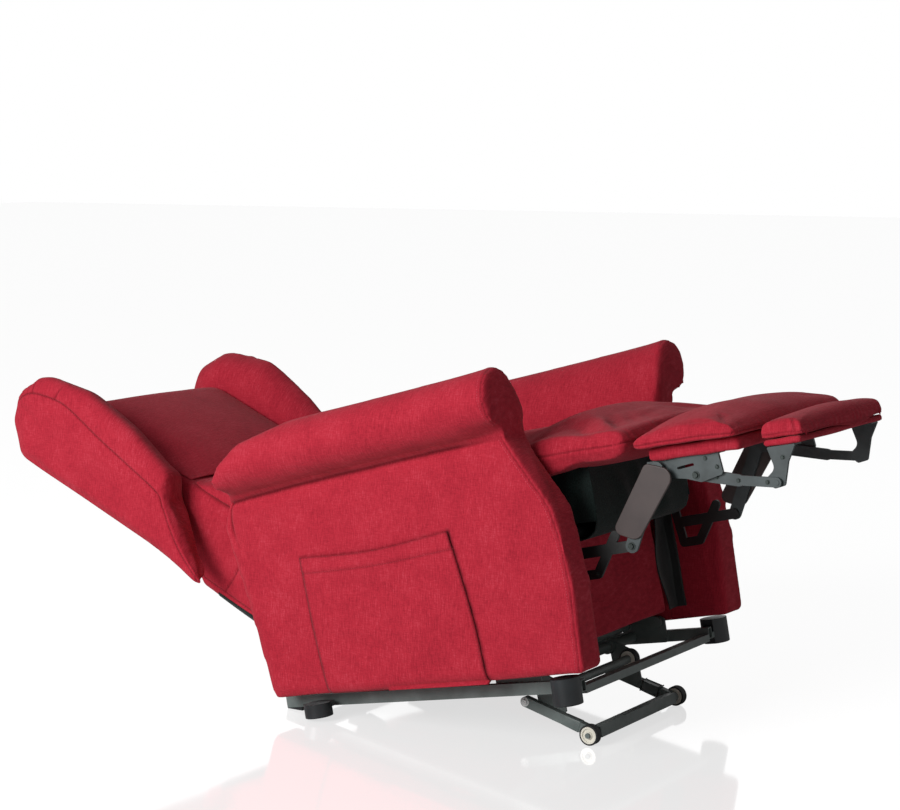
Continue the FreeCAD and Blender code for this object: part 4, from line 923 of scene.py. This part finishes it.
# backrest
wingOutline = [(0.609, 0.060), (0.608, 0.132), (0.585, 0.165), (0.56, 0.190), (0.50, 0.208), (0.44, 0.216),
               (0.37, 0.210), (0.30, 0.199), (0.23, 0.180), (0.175, 0.160), (0.158, 0.135), (0.150, 0.104)]
wingSeam = [(-0.333, u, v) for u, v in [(0.600, 0.112), (0.575, 0.139), (0.546, 0.153), (0.482, 0.165), (0.42, 0.158),
                                        (0.353, 0.145), (0.257, 0.130), (0.175, 0.116), (0.150, 0.096), (0.128, 0.069),
                                        (0.095, 0.038), (0.048, 0.013), (0.012, 0.004)]]
wing = softBack | {
    "node": "wing_right", "voxel": 0.006, "shrink": 0.003, "cap": 0.006, "sink": 0.001, "slide": 0.0015,
    "fill": 0.75, "soften": 2, "round": 0.032, "innerRound": 0.066,
    "corner": lambda p: p.x < -0.325 and p.y < 0.12 and p.z < 0.10,
    "seams": [
        {"corners": wingSeam, "hold": 0.010, "width": 0.0036, "depth": 0.0028, "dark": 0.8,
         "pucker": (0.0009, 0.015, 0.026)},
    ] + [
        {"corners": tuck, "hold": 0.006, "width": 0.003, "depth": 0.0016, "fade": 0.4, "dark": 0.6,
         "pucker": (0.0004, 0.012, 0.012)}
        for tuck in ([(-0.333, 0.562, 0.148), (-0.328, 0.570, 0.168), (-0.312, 0.574, 0.182)],
                     [(-0.333, 0.500, 0.164), (-0.328, 0.497, 0.188), (-0.314, 0.494, 0.203)])
    ],
    "waves": [{"way": (0, 3.0, 2.0), "drift": (0, 11.0, 7.0), "height": 0.0007}],
}


def roundWing(points):
    # rolls the wing's outer and inner edges over along its front outline, away from its lower tip
    line = curveThrough([(0.0, u, v) for u, v in wingOutline], 0.004)[:, 1:]
    ahead = np.gradient(line, axis=0)
    ahead /= np.linalg.norm(ahead, axis=1)[:, None]
    outward = np.column_stack([-ahead[:, 1], ahead[:, 0]])
    outward *= np.sign(((line - (0.33, 0.03)) * outward).sum(1))[:, None]
    place = np.empty(len(points), int)
    gap = np.empty(len(points))
    for start in range(0, len(points), chunk):
        rows = slice(start, start + chunk)
        far = np.linalg.norm(points[rows, None, 1:] - line[None], axis=2)
        place[rows], gap[rows] = far.argmin(1), far.min(1)
    side = -points[:, 0]
    drop = np.zeros(len(points))
    for size, reach in ((wing["round"], 0.332 - side), (wing["innerRound"], side - 0.2411)):
        near = size - np.clip(reach, 0, size)
        drop += size - np.sqrt(size ** 2 - near ** 2)
    share = np.clip(1 - gap / 0.075, 0, 1) * np.clip((points[:, 1] - 0.13) / 0.07, 0, 1) * 0.85
    moved = np.array(points)
    moved[:, 1:] -= outward[place] * (drop * share)[:, None]
    return moved


def keepWing(points):
    # draws the lower tip out to the back's lower corner, narrow there
    points[:, 0] = np.clip(points[:, 0], -0.340, -0.2408)
    wing.setdefault("low", points[:, 1].min())
    near = np.clip((0.17 - points[:, 1]) / (0.17 - wing["low"]), 0, 1)
    points[:, 1] -= (wing["low"] - 0.002) * near ** 1.6
    points[:, 2] -= 0.012 * near ** 3 * (points[:, 2] > 0.004)
    points[:, 0] -= (points[:, 0] + 0.336) * 0.62 * near ** 1.3
    return points


def fuller(points):
    # the far wing stands a little fuller in the photograph
    rise = 0.014 * np.exp(-((points[:, 1] - 0.43) / 0.12) ** 2) * np.clip((points[:, 2] - 0.13) / 0.08, 0, 1)
    points[:, 2] += rise
    return points


def wingShell():
    # fine triangles before the reshape, so that the edge can roll over
    obj = outerShell("wing_right", backTurn)
    sharp = cornerPoints(obj, wing["corner"])
    withModifier(obj, "REMESH", {"mode": "VOXEL", "voxel_size": 0.005})
    setPoints(obj.data, roundWing(getPoints(obj.data)))
    return obj, sharp


wingStart, wingTip = wingShell()
wingObject, wingSeams = softPiece(wing, keep=keepWing, shell=wingStart, corners=wingTip)
wingTwin = copyOf(wingObject)
setPoints(wingTwin.data, fuller(getPoints(wingTwin.data)))
farTurn = backTurn @ mirrorOver
finishPiece(wingObject, "wingRightCover", wing)
finishPiece(wingTwin, "wingLeftCover", wing | {"node": "wing_left"}, farTurn)
wingLine = wingSeams[0]["line"]
stitches("wingRightStitches", [wingLine], "backrest", backTurn, "darkThread")
farLine = ontoSurface(treeOf(wingTwin.data), [farTurn @ Vector(p) for p in wingLine], 0.0002)
farLine = [farTurn.inverted() @ Vector(p) for p in farLine]
stitches("wingLeftStitches", [farLine], "backrest", farTurn, "darkThread")
print("wings made")

backCover = softBack | {
    "node": "back_core", "voxel": 0.008, "shrink": 0.002, "cap": 0.006, "sink": 0.001, "slide": 0.001,
    "pressure": 3.0, "fill": 0.7, "soften": 2, "flat": [(2, 0.130)],
    "seams": bothSides({
        "corners": [(0.2, 0.545, -0.02), (0.235, 0.50, -0.006), (0.238, 0.2, -0.006), (0.238, -0.1, -0.006),
                    (0.236, -0.24, -0.004)],
        "hold": 0.010,
    }) + bothSides({
        "corners": [(0.240, -0.012, 0.125), (0.240, -0.02, 0.08), (0.240, -0.016, 0.03), (0.239, -0.006, -0.002)],
        "pucker": (0.0006, 0.014, 0.015),
    }),
    "waves": [{"way": (1.3, 2.0, 0), "drift": (5.0, 7.0, 0), "height": 0.0012}],
}

backTop = {"from": 0.486, "round": 0.080}


def bendTop(points):
    # the back's front falls away in a broad curve towards its top
    past = np.clip(points[:, 1] - backTop["from"], 0, backTop["round"] * 0.995)
    drop = backTop["round"] - np.sqrt(backTop["round"] ** 2 - past ** 2)
    points[:, 2] -= drop * np.clip(points[:, 2] / 0.13, 0, 1.1)
    return points


def squareRear(points):
    # below the wings the rear stays as deep at the sides as in its middle
    t = np.clip((0.095 - points[:, 1]) / 0.045, 0, 1)
    share = t * t * (3 - 2 * t) * np.clip((0.07 - points[:, 2]) / 0.07, 0, 1)
    points[:, 2] -= (0.013 + 0.018 * np.clip(np.abs(points[:, 0]) / 0.24, 0, 1) ** 2) * share
    return points


def keepCore(points):
    points = squareRear(points)
    inside = (points[:, 1] > -0.01) & (np.abs(points[:, 0]) > 0.2)
    points[:, 0] = np.where(inside, np.clip(points[:, 0], -0.2404, 0.2404), points[:, 0])
    points[:, 0] = np.clip(points[:, 0], -0.2465, 0.2465)
    points[:, 2] = np.minimum(points[:, 2], 0.130)
    return bendTop(points)


backObject, backSeams = softPiece(backCover, keep=keepCore)
finishPiece(backObject, "backRearCover", backCover)
stitches("backRearStitches", [backSeams[0]["line"], backSeams[1]["line"]], "backrest", backTurn, "darkThread")

backTrim = darkSheet | {
    "body": "backrest", "turn": backTurn, "inner": 0.224, "low": -0.244, "high": 0.010, "up": 0.0090,
    "ends": (-0.22, -0.02), "thick": 0.0010, "flat": (0.254, 0.029), "rests": ["backRearCover"],
}


def makeBackTrim():
    # a dark edging over the back's lower rear corners, cut to the back's own shape
    first, last = backTrim["ends"]
    for side, name in leftRight:
        obj = copyOf(backObject)
        obj.data.transform(backTurn.inverted())
        points = getPoints(obj.data)
        beside = points[:, 0] * side > 0.232
        depth = [points[beside & (np.abs(points[:, 1] - u) < 0.012), 2].min() for u in (first, last)]
        slope = (depth[1] - depth[0]) / (last - first)
        bm = bmesh.new()
        bm.from_mesh(obj.data)
        for spot, way in (((side * backTrim["inner"], 0, 0), (-side, 0, 0)), ((0, backTrim["low"], 0), (0, -1, 0)),
                          ((0, backTrim["high"], 0), (0, 1, 0)),
                          ((0, first, depth[0] + backTrim["up"]), (0, -slope, 1))):
            bmesh.ops.bisect_plane(bm, geom=bm.verts[:] + bm.edges[:] + bm.faces[:], dist=0.0001, plane_co=spot,
                                   plane_no=way, clear_outer=True)
        for vert in bm.verts:
            vert.co += vert.normal * 0.0003
        bm.to_mesh(obj.data)
        bm.free()
        withModifier(obj, "SOLIDIFY", {"thickness": backTrim["thick"], "offset": 1.0})
        finishSheet(obj, "backTrim" + name, backTrim)


makeBackTrim()

lumbar = softBack | {
    "node": "lumbar_cushion", "voxel": 0.006, "shrink": 0.005, "cap": 0.022, "fill": 0.8,
    "flat": [(2, 0.1304), (1, 0.166)],
    "seams": [
        {"corners": [(-0.225, -0.126, 0.165), (-0.1, -0.13, 0.168), (0.1, -0.13, 0.168), (0.225, -0.126, 0.165)],
         "pucker": (0.0008, 0.018, 0.018)},
    ],
    "waves": [{"way": (2.0, 1.0, 0), "drift": (9.0, 7.0, 0), "height": 0.0013}],
}
cushionRear = 0.1304  # both cushions lie on the core's front, 0.4 mm off it


def crown(points, edge, rise):
    # the front stands fullest in its middle and rounds down to the sides
    points[:, 0] = np.clip(points[:, 0], -0.2395, 0.2395)
    points[:, 2] = np.maximum(points[:, 2], cushionRear)
    t = np.clip((0.2435 - np.abs(points[:, 0])) / edge, 0, 1)
    share = np.sqrt(1 - (1 - t) ** 2) * (1 + rise * (1 - (points[:, 0] / 0.24) ** 2))
    points[:, 2] = cushionRear + (points[:, 2] - cushionRear) * share
    return points


def keepLumbar(points):
    points = crown(points, 0.075, 0.0)
    points[:, 1] = np.minimum(points[:, 1], 0.1668)
    return points


finishPiece(softPiece(lumbar, keep=keepLumbar)[0], "lumbarCover", lumbar)

upper = softBack | {
    "node": "upper_cushion", "voxel": 0.006, "shrink": 0.003, "cap": 0.016, "fill": 0.7,
    "flat": [(2, 0.1304), (1, 0.168)],
    "seams": bothSides({"corners": [(0.233, 0.20, 0.138), (0.236, 0.35, 0.140), (0.234, 0.5, 0.136)], "depth": 0.002,
                        "pucker": (0.0007, 0.018, 0.018)}),
    "waves": [{"way": (2.2, 1.4, 0), "drift": (8.0, 6.0, 0), "height": 0.0011}],
}


def keepUpper(points):
    points = crown(points, 0.11, 0.12)
    points[:, 1] = np.maximum(points[:, 1], 0.1678)
    return bendTop(points)


finishPiece(softPiece(upper, keep=keepUpper)[0], "upperBackCover", upper)
print("back made")


# seat and leg pads
def ringLine(half, front, rear, z, corner=0.03):
    # a line round a pad's side at one height, with its corners turned
    return acrossLine([(-half, rear + 0.004, z), (-half, (front + rear) / 2, z), (-half, front + corner, z),
                       (-half + corner * 0.3, front + corner * 0.3, z), (-half + corner, front, z)], (0, front, z))


seat = softSeat | {
    "node": "seat_cushion", "body": "carriage", "voxel": 0.007, "shrink": 0.005, "cap": 0.018,
    "flat": [(2, 0.4434)],
    "seams": [
        {"corners": acrossLine([(-0.244, 0.02, 0.462), (-0.248, -0.1, 0.470), (-0.249, -0.25, 0.478),
                                (-0.249, -0.45, 0.484), (-0.247, -0.57, 0.485), (-0.238, -0.596, 0.486),
                                (-0.18, -0.603, 0.487)], (0.0, -0.604, 0.487)),
         "width": 0.0034, "depth": 0.0028, "dark": 0.6, "side": (0, 0, 1), "pucker": (0.0011, 0.024, 0.022)},
    ],
    "folds": [{"corners": [(-0.2, -0.52, 0.52), (-0.05, -0.545, 0.53), (0.1, -0.52, 0.53)], "height": -0.002,
               "width": 0.012},
              {"corners": [(-0.245, -0.56, 0.49), (-0.22, -0.50, 0.52), (-0.16, -0.46, 0.53)], "height": -0.0016,
               "width": 0.012}],
    "waves": [{"way": (2.4, 1.3, 0), "drift": (7.0, 5.0, 0), "height": 0.0013},
              {"way": (0.8, 3.6, 0), "drift": (11.0, 3.0, 0), "height": 0.0008}],
}


def keepSeat(points):
    points[:, 0] = np.clip(points[:, 0], -0.2525, 0.2525)
    rests = points[:, 1] > -0.40
    points[:, 2] = np.where(rests, np.maximum(points[:, 2], 0.4434), points[:, 2])
    points[:, 1] = np.maximum(points[:, 1], -0.6045)
    return points


finishPiece(softPiece(seat, keep=keepSeat)[0], "seatCover", seat)


def within(half, low, front, rear):
    # keeps a leg pad beside its neighbours and on its board
    def keep(points):
        points[:, 0] = np.clip(points[:, 0], -half, half)
        points[:, 1] = np.clip(points[:, 1], front, rear)
        points[:, 2] = np.maximum(points[:, 2], low)
        return points
    return keep


calf = softSeat | {
    "node": "calf_pad", "body": "calf", "voxel": 0.005, "shrink": 0.005, "cap": 0.015, "flat": [(2, 0.4684)],
    "seams": [
        {"corners": ringLine(0.2485, -0.8205, -0.612, 0.476), "hold": 0.007, "width": 0.0034, "depth": 0.0026,
         "dark": 0.5, "side": (0, 0, 1), "pucker": (0.0009, 0.026, 0.016)},
    ],
    "folds": [{"corners": [(-0.249, -0.80, 0.484), (-0.225, -0.795, 0.505), (-0.19, -0.78, 0.520)], "height": -0.002,
               "width": 0.011},
              {"corners": [(-0.249, -0.64, 0.486), (-0.225, -0.65, 0.503), (-0.18, -0.655, 0.518)], "height": -0.0018,
               "width": 0.011}],
    "waves": [{"way": (2.6, 2.0, 0), "drift": (9.0, 8.0, 0), "height": 0.0014}],
}

finishPiece(softPiece(calf, keep=within(0.2535, 0.4684, -0.8265, -0.6045))[0], "calfCover", calf)

flip = softSeat | {
    "node": "flipper_pad", "body": "flipper", "voxel": 0.0045, "shrink": 0.003, "cap": 0.010, "sink": 0.0015,
    "slide": 0.003, "flat": [(2, 0.4524)],
    "seams": [
        {"corners": ringLine(0.1945, -0.9255, -0.8385, 0.459), "hold": 0.006, "width": 0.003, "depth": 0.0016,
         "dark": 0.35, "side": (0, 0, 1), "pucker": (0.0007, 0.019, 0.014)},
    ],
    "folds": [{"corners": [(-0.193, -0.915, 0.458), (-0.19, -0.912, 0.475), (-0.178, -0.905, 0.49)], "height": -0.004,
               "width": 0.006},
              {"corners": [(-0.194, -0.895, 0.458), (-0.192, -0.898, 0.474), (-0.184, -0.895, 0.49)], "height": -0.003,
               "width": 0.005}],
    "waves": [{"way": (2.8, 3.0, 0), "drift": (9.0, 8.0, 0), "height": 0.0009}],
}

flipObject, _ = softPiece(flip, keep=within(0.199, 0.4524, -0.9305, -0.8335))


def drapeRim(mesh):
    # the cover's rim comes down round the board, a little more at the corners
    points = getPoints(mesh)
    outX = np.abs(points[:, 0]) - 0.1925
    outY = np.maximum(-0.9215 - points[:, 1], points[:, 1] + 0.8425)
    out = np.clip(np.maximum(outX, outY) / 0.002, 0, 1)
    low = np.clip((0.470 - points[:, 2]) / 0.016, 0, 1)
    points[:, 2] -= 0.0125 * out * low * low * (3 - 2 * low)
    setPoints(mesh, points)


drapeRim(flipObject.data)
finishPiece(flipObject, "footCover", flip)
print("seat and leg pads made")


# boards covered in cloth, the front panel and its surroundings
coveredBoards = [
    {"name": "calfBoardCover", "node": "calf_board", "body": "calf", "fill": 0.9, "swellBy": 0.0006},
    {"name": "footBoardCover", "node": "flipper_board", "body": "flipper", "fill": 0.9, "swellBy": 0.0},
    {"name": "frontPanelCover", "node": "front_panel", "body": "carriage", "fill": 0.8, "swellBy": 0.0},
]


def makeBoards():
    for piece in coveredBoards:
        obj = outerShell(piece["node"], chairTurn)
        withModifier(obj, "REMESH", {"mode": "VOXEL", "voxel_size": 0.004, "use_smooth_shade": True})
        points = smoothPoints(obj.data, getPoints(obj.data), 4)
        wave = 0.0007 * np.sin(points[:, 0] * 24 + 3 * np.sin(points[:, 1] * 40 + points[:, 2] * 31))
        setPoints(obj.data, points)
        setPoints(obj.data, points + getNormals(obj.data) * (wave + piece["swellBy"])[:, None])
        finishPiece(obj, piece["name"], softSeat | piece)


makeBoards()

apron = darkSheet | {
    "node": "apron", "half": 0.2304, "low": 0.3182, "high": 0.4395, "y": -0.3772, "hole": (0.0205, 0.3615, 0.4005),
    "thick": 0.0014,
    "valanceHalf": 0.1895, "valance": [(-0.3786, 0.3134), (-0.410, 0.3130), (-0.440, 0.3136), (-0.462, 0.3215),
                                       (-0.4755, 0.338), (-0.4805, 0.362), (-0.4810, 0.400), (-0.4805, 0.4535)],
}


def hangCloth(name, grid, flat, rests, hole=None):
    finishSheet(sheetMesh(name, grid, apron["thick"], False, hole), name, apron | {"flat": flat, "rests": rests})


def apronPoint(u, t):
    x = apron["half"] * (2 * u - 1)
    sag = 0.0025 * math.sin(math.pi * t) * (1 + 0.5 * math.sin(27 * x + 2.2 * math.sin(13 * x) + 9 * t))
    return x, apron["y"] - sag, apron["low"] + (apron["high"] - apron["low"]) * t


def valancePoint(u, y, z):
    # soft upright folds, none where it passes under the torque tube
    x = apron["valanceHalf"] * (2 * u - 1)
    t = np.clip((z - 0.32) / 0.13, 0, 1)
    fold = 0.5 + 0.5 * math.sin(52 * x + 2.6 * math.sin(17 * x) + 3.0 * t)
    fold = 0.0050 * fold ** 1.6 * math.sin(math.pi * min(1.0, 0.15 + 0.85 * t)) if t > 0 else 0.0
    return x, y - fold, z


def makeApron():
    # a flat cloth behind, let through by the footrest's drive
    hangCloth("apronCloth", gridOf(36, 92, apronPoint), (0.461, 0.122), ["panel_stiles", "seat_frame"], apron["hole"])
    # a second one that passes under the torque tube and hangs in front of it
    line = curveThrough([(0.0, y, z) for y, z in apron["valance"]], 0.005)
    grid = np.array([[valancePoint(c / 95, y, z) for c in range(96)] for _, y, z in line])
    hangCloth("valanceCloth", grid, (0.380, 0.224), ["seatCover"])
    # its sides go back beside the linkages, above the torque tube
    for side, name in leftRight:
        grid = gridOf(24, 22, lambda t, v: (
            apron["valanceHalf"] - 0.0008 + 0.004 * math.sin(math.pi * t) * math.sin(11 * t + 3.0 * v),
            -0.4815 + 0.0965 * t, 0.3465 + 0.106 * v))
        hangCloth("valanceSide" + name, grid * (side, 1, 1), (0.106, 0.0965), ["valanceCloth"])


makeApron()

# red cloth over the seat frame's rear bar
rearCloth = {"body": "carriage", "slot": "red_fabric", "material": "red", "turn": chairTurn, "half": 0.226,
             "y": 0.0625, "low": 0.402, "high": 0.4425, "thick": 0.0012, "flat": (0.452, 0.0405),
             "rests": ["seat_frame"]}


def rearPoint(u, t):
    x = rearCloth["half"] * (2 * u - 1)
    bulge = 0.0016 * math.sin(math.pi * t) * (1 + 0.6 * math.sin(31 * x + 2 * math.sin(15 * x)))
    return x, rearCloth["y"] + bulge, rearCloth["low"] + (rearCloth["high"] - rearCloth["low"]) * t


finishSheet(sheetMesh("seatRearCloth", gridOf(14, 80, rearPoint), rearCloth["thick"]), "seatRearCloth", rearCloth)

gusset = {"slot": "dark_fabric", "material": "elastic", "node": "gussets", "turn": chairTurn, "low": 0.115,
          "high": 0.309, "y": -0.3765, "belly": 0.006, "thick": 0.0022, "outer": 0.2522, "fold": 0.021,
          "flat": (0.075, 0.193), "rests": ["frontPanelCover"]}


def gussetPoint(u, t):
    inner = 0.199 + 0.011 * math.cos(math.pi * 2 * t)  # its sewn edge is drawn in at mid height
    width = gusset["outer"] - inner
    far = (width + gusset["fold"]) * u
    z = gusset["low"] + (gusset["high"] - gusset["low"]) * t
    if far >= width:  # folded forward along the arm
        return gusset["outer"] - 0.0010 * math.sin(9 * t), gusset["y"] - (far - width), z
    s = far / width
    belly = gusset["belly"] * math.sin(math.pi * t) * math.sin(math.pi * s)
    return inner + far, gusset["y"] - 0.0038 * (1 - s) ** 2 + belly, z


def makeGussets():
    for side, name in leftRight:
        obj = sheetMesh("gusset" + name, gridOf(44, 26, gussetPoint) * (side, 1, 1), gusset["thick"])
        finishSheet(obj, "gusset" + name, gusset)
        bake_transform(obj)


makeGussets()

straps = darkSheet | {
    "node": "seat_webbing", "half": 0.231, "first": -0.370, "last": 0.008, "width": 0.046, "count": 5, "z": 0.4415,
    "thick": 0.0024, "sag": 0.0008, "columns": 40, "flat": (0.462, 0.23), "rests": ["seat_frame"],
}


def makeStraps():
    verts, faces = [], []
    columns = straps["columns"]
    for i in range(straps["count"]):
        y = straps["first"] + (straps["last"] - straps["first"]) * i / (straps["count"] - 1)
        first = len(verts)
        for c in range(columns):
            x = straps["half"] * (2 * c / (columns - 1) - 1)
            z = straps["z"] - straps["sag"] * math.cos(x / straps["half"] * math.pi / 2)
            verts += [(x, y, z), (x, y + straps["width"], z)]
        faces += [(first + 2 * c, first + 2 * c + 2, first + 2 * c + 3, first + 2 * c + 1) for c in range(columns - 1)]
    mesh = bpy.data.meshes.new("seatStraps")
    mesh.from_pydata(verts, [], faces)
    obj = newObject("seatStraps", mesh)
    withModifier(obj, "SOLIDIFY", {"thickness": straps["thick"], "offset": 0.0})
    finishSheet(obj, "seatStraps", straps)


makeStraps()
print("boards, panel and straps made")


# rivets, bolts and caps, from the places of their pins on the left, mirrored to the right
fasteners = [
    {"name": "rivets", "sides": 16, "radius": 0.0056, "height": 0.0035, "turn": chairTurn, "metal": "blackened",
     "slot": "link_paint",
     "places": {"swing": [(0.2195, -0.562, 0.295)], "flipper_arm": [(0.2065, -0.711, 0.408)],
                "carriage": [(0.2373, -0.430, 0.330)]}},
    {"name": "smallRivets", "sides": 12, "radius": 0.0034, "height": 0.0022, "turn": chairTurn, "metal": "blackened",
     "slot": "link_paint",
     "places": {"calf": [(0.2062, -0.640, 0.433), (0.2062, -0.735, 0.436), (0.2062, -0.756, 0.418)],
                "flipper_arm": [(0.1992, -0.748, 0.399), (0.1992, -0.790, 0.388), (0.1992, -0.846, 0.378)],
                "flipper": [(0.1922, -0.880, 0.418)],
                "swing": [(0.2132, -0.477, 0.250), (0.2132, -0.440, 0.249)]}},
    {"name": "rollerArmCaps", "sides": 24, "radius": 0.0066, "height": 0.0042, "turn": baseTurn, "metal": "cap",
     "slot": "hub_plastic", "places": {"roller_frame": [(0.168, -0.232, -0.017)]}},
]


def makeFasteners(kind):
    for body, spots in kind["places"].items():
        verts = [(s * x, y, z) for x, y, z in spots for s in (1, -1)]
        mesh = bpy.data.meshes.new("spots")
        mesh.from_pydata(verts, [], [])
        aim = mesh.attributes.new("aim", "FLOAT_VECTOR", "POINT")
        aim.data.foreach_set("vector", [v for x, y, z in verts for v in (math.copysign(1, x), 0.0, 0.0)])
        obj = grow(kind["name"] + "_" + body, fastenerTree, mesh,
                   {"Sides": kind["sides"], "Radius": kind["radius"], "Height": kind["height"],
                    "Metal": materials[kind["metal"]]})
        obj.data.transform(kind["turn"])
        facesOut(obj.data)
        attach(obj, body)


for fastener in fasteners:
    makeFasteners(fastener)

armSleeve = {"body": "roller_frame", "slot": "base_paint", "material": "basePaint", "turn": baseTurn,
             "start": (-0.232, -0.017), "end": (-0.374, -0.0842), "span": (0.56, 0.81), "x": (0.1530, 0.1688),
             "height": 0.0232, "round": 0.0022}


def makeArmSleeves():
    # a moulded guard round each roller arm
    a, b = (Vector((0, *armSleeve[k])) for k in ("start", "end"))
    up = Vector((1, 0, 0)).cross((b - a).normalized())
    for side, name in leftRight:
        bm = bmesh.new()
        bmesh.ops.create_cube(bm, size=1.0)
        for vert in bm.verts:
            share = armSleeve["span"][0] + (armSleeve["span"][1] - armSleeve["span"][0]) * (vert.co.y + 0.5)
            spot = a.lerp(b, share) + up * (vert.co.z * armSleeve["height"] * (1.0 - 0.08 * (vert.co.y < 0)))
            spot.x = side * (armSleeve["x"][0] + (armSleeve["x"][1] - armSleeve["x"][0]) * (vert.co.x + 0.5))
            vert.co = spot
        bmesh.ops.bevel(bm, geom=bm.edges[:], offset=armSleeve["round"], segments=3, profile=0.5, affect="EDGES")
        bmesh.ops.recalc_face_normals(bm, faces=bm.faces)
        mesh = bpy.data.meshes.new("rollerArmGuard" + name)
        bm.to_mesh(mesh)
        bm.free()
        finishPiece(newObject("rollerArmGuard" + name, mesh), "rollerArmGuard" + name, armSleeve)


makeArmSleeves()
print("rivets made")


# floor, light and backdrop
studio = {
    "key": {"place": (-4.4, 0.9, 2.1), "target": (0, 0, 0.35), "size": 2.2, "power": 212.0},
    "ambient": 0.19, "mirrored": 0.6,
    "floor": {"glow": 0.69, "reflect": 0.24, "diffuse": 0.21, "rough": 0.07},
}


def makeLamp(name, lamp):
    data = bpy.data.lights.new(name, "AREA")
    data.shape = "SQUARE"
    data.size = lamp["size"]
    data.energy = lamp["power"]
    aimFrom(newObject(name, data), lamp["place"], Vector(lamp["target"]) - Vector(lamp["place"]))


def makeWorld():
    # white to the eye, softer as the light on the object
    world = bpy.data.worlds.new("studio")
    scene.world = world
    world.use_nodes = True
    tree = world.node_tree
    ground = tree.nodes["Background"]
    ground.inputs["Color"].default_value = (1, 1, 1, 1)
    path = addNode(tree, "ShaderNodeLightPath")
    seen = mathNode(tree, "MAXIMUM", path.outputs["Is Camera Ray"], path.outputs["Is Transmission Ray"])
    glossy = mathNode(tree, "MULTIPLY", path.outputs["Is Glossy Ray"], studio["mirrored"])
    seen = mathNode(tree, "MAXIMUM", seen, glossy)
    strength = addNode(tree, "ShaderNodeMapRange", None, {"To Min": studio["ambient"], "To Max": 1.0},
                       {"Value": seen})
    tree.links.new(strength.outputs[0], ground.inputs["Strength"])


def makeFloor():
    # polished white acrylic sheet: a faint mirror over white, with the object's shade on it
    reach = 30.0
    mesh = bpy.data.meshes.new("floor")
    corners = [(x * reach, y * reach, 0) for x, y in ((-1, -1), (1, -1), (1, 1), (-1, 1))]
    mesh.from_pydata(corners, [], [(0, 1, 2, 3)])
    floor = newObject("floor", mesh)
    size = studio["floor"]
    material = bpy.data.materials.new("polishedWhiteAcrylic")
    material.use_nodes = True
    tree = material.node_tree
    tree.nodes.remove(tree.nodes["Principled BSDF"])
    plain = addNode(tree, "ShaderNodeBsdfDiffuse", None, {"Color": (0.7, 0.7, 0.7, 1)})
    shade = addNode(tree, "ShaderNodeBsdfDiffuse", None, {"Color": (size["diffuse"],) * 3 + (1,)})
    glow = addNode(tree, "ShaderNodeEmission", None, {"Color": (1, 1, 1, 1), "Strength": size["glow"]})
    above = studio["ambient"] + studio["mirrored"] * (1 - studio["ambient"])  # how bright the mirror sees the world
    mirror = addNode(tree, "ShaderNodeBsdfGlossy", None,
                     {"Color": (size["reflect"] / above,) * 3 + (1,), "Roughness": size["rough"]})
    first = addNode(tree, "ShaderNodeAddShader", None, None, {0: shade.outputs[0], 1: glow.outputs[0]})
    both = addNode(tree, "ShaderNodeAddShader", None, None, {0: first.outputs[0], 1: mirror.outputs[0]})
    path = addNode(tree, "ShaderNodeLightPath")
    blend = addNode(tree, "ShaderNodeMixShader", None, None,
                    {0: path.outputs["Is Camera Ray"], 1: plain.outputs[0], 2: both.outputs[0]})
    tree.links.new(blend.outputs[0], tree.nodes["Material Output"].inputs["Surface"])
    mesh.materials.append(material)


makeLamp("keyLamp", studio["key"])
makeWorld()
makeFloor()
print("studio made")
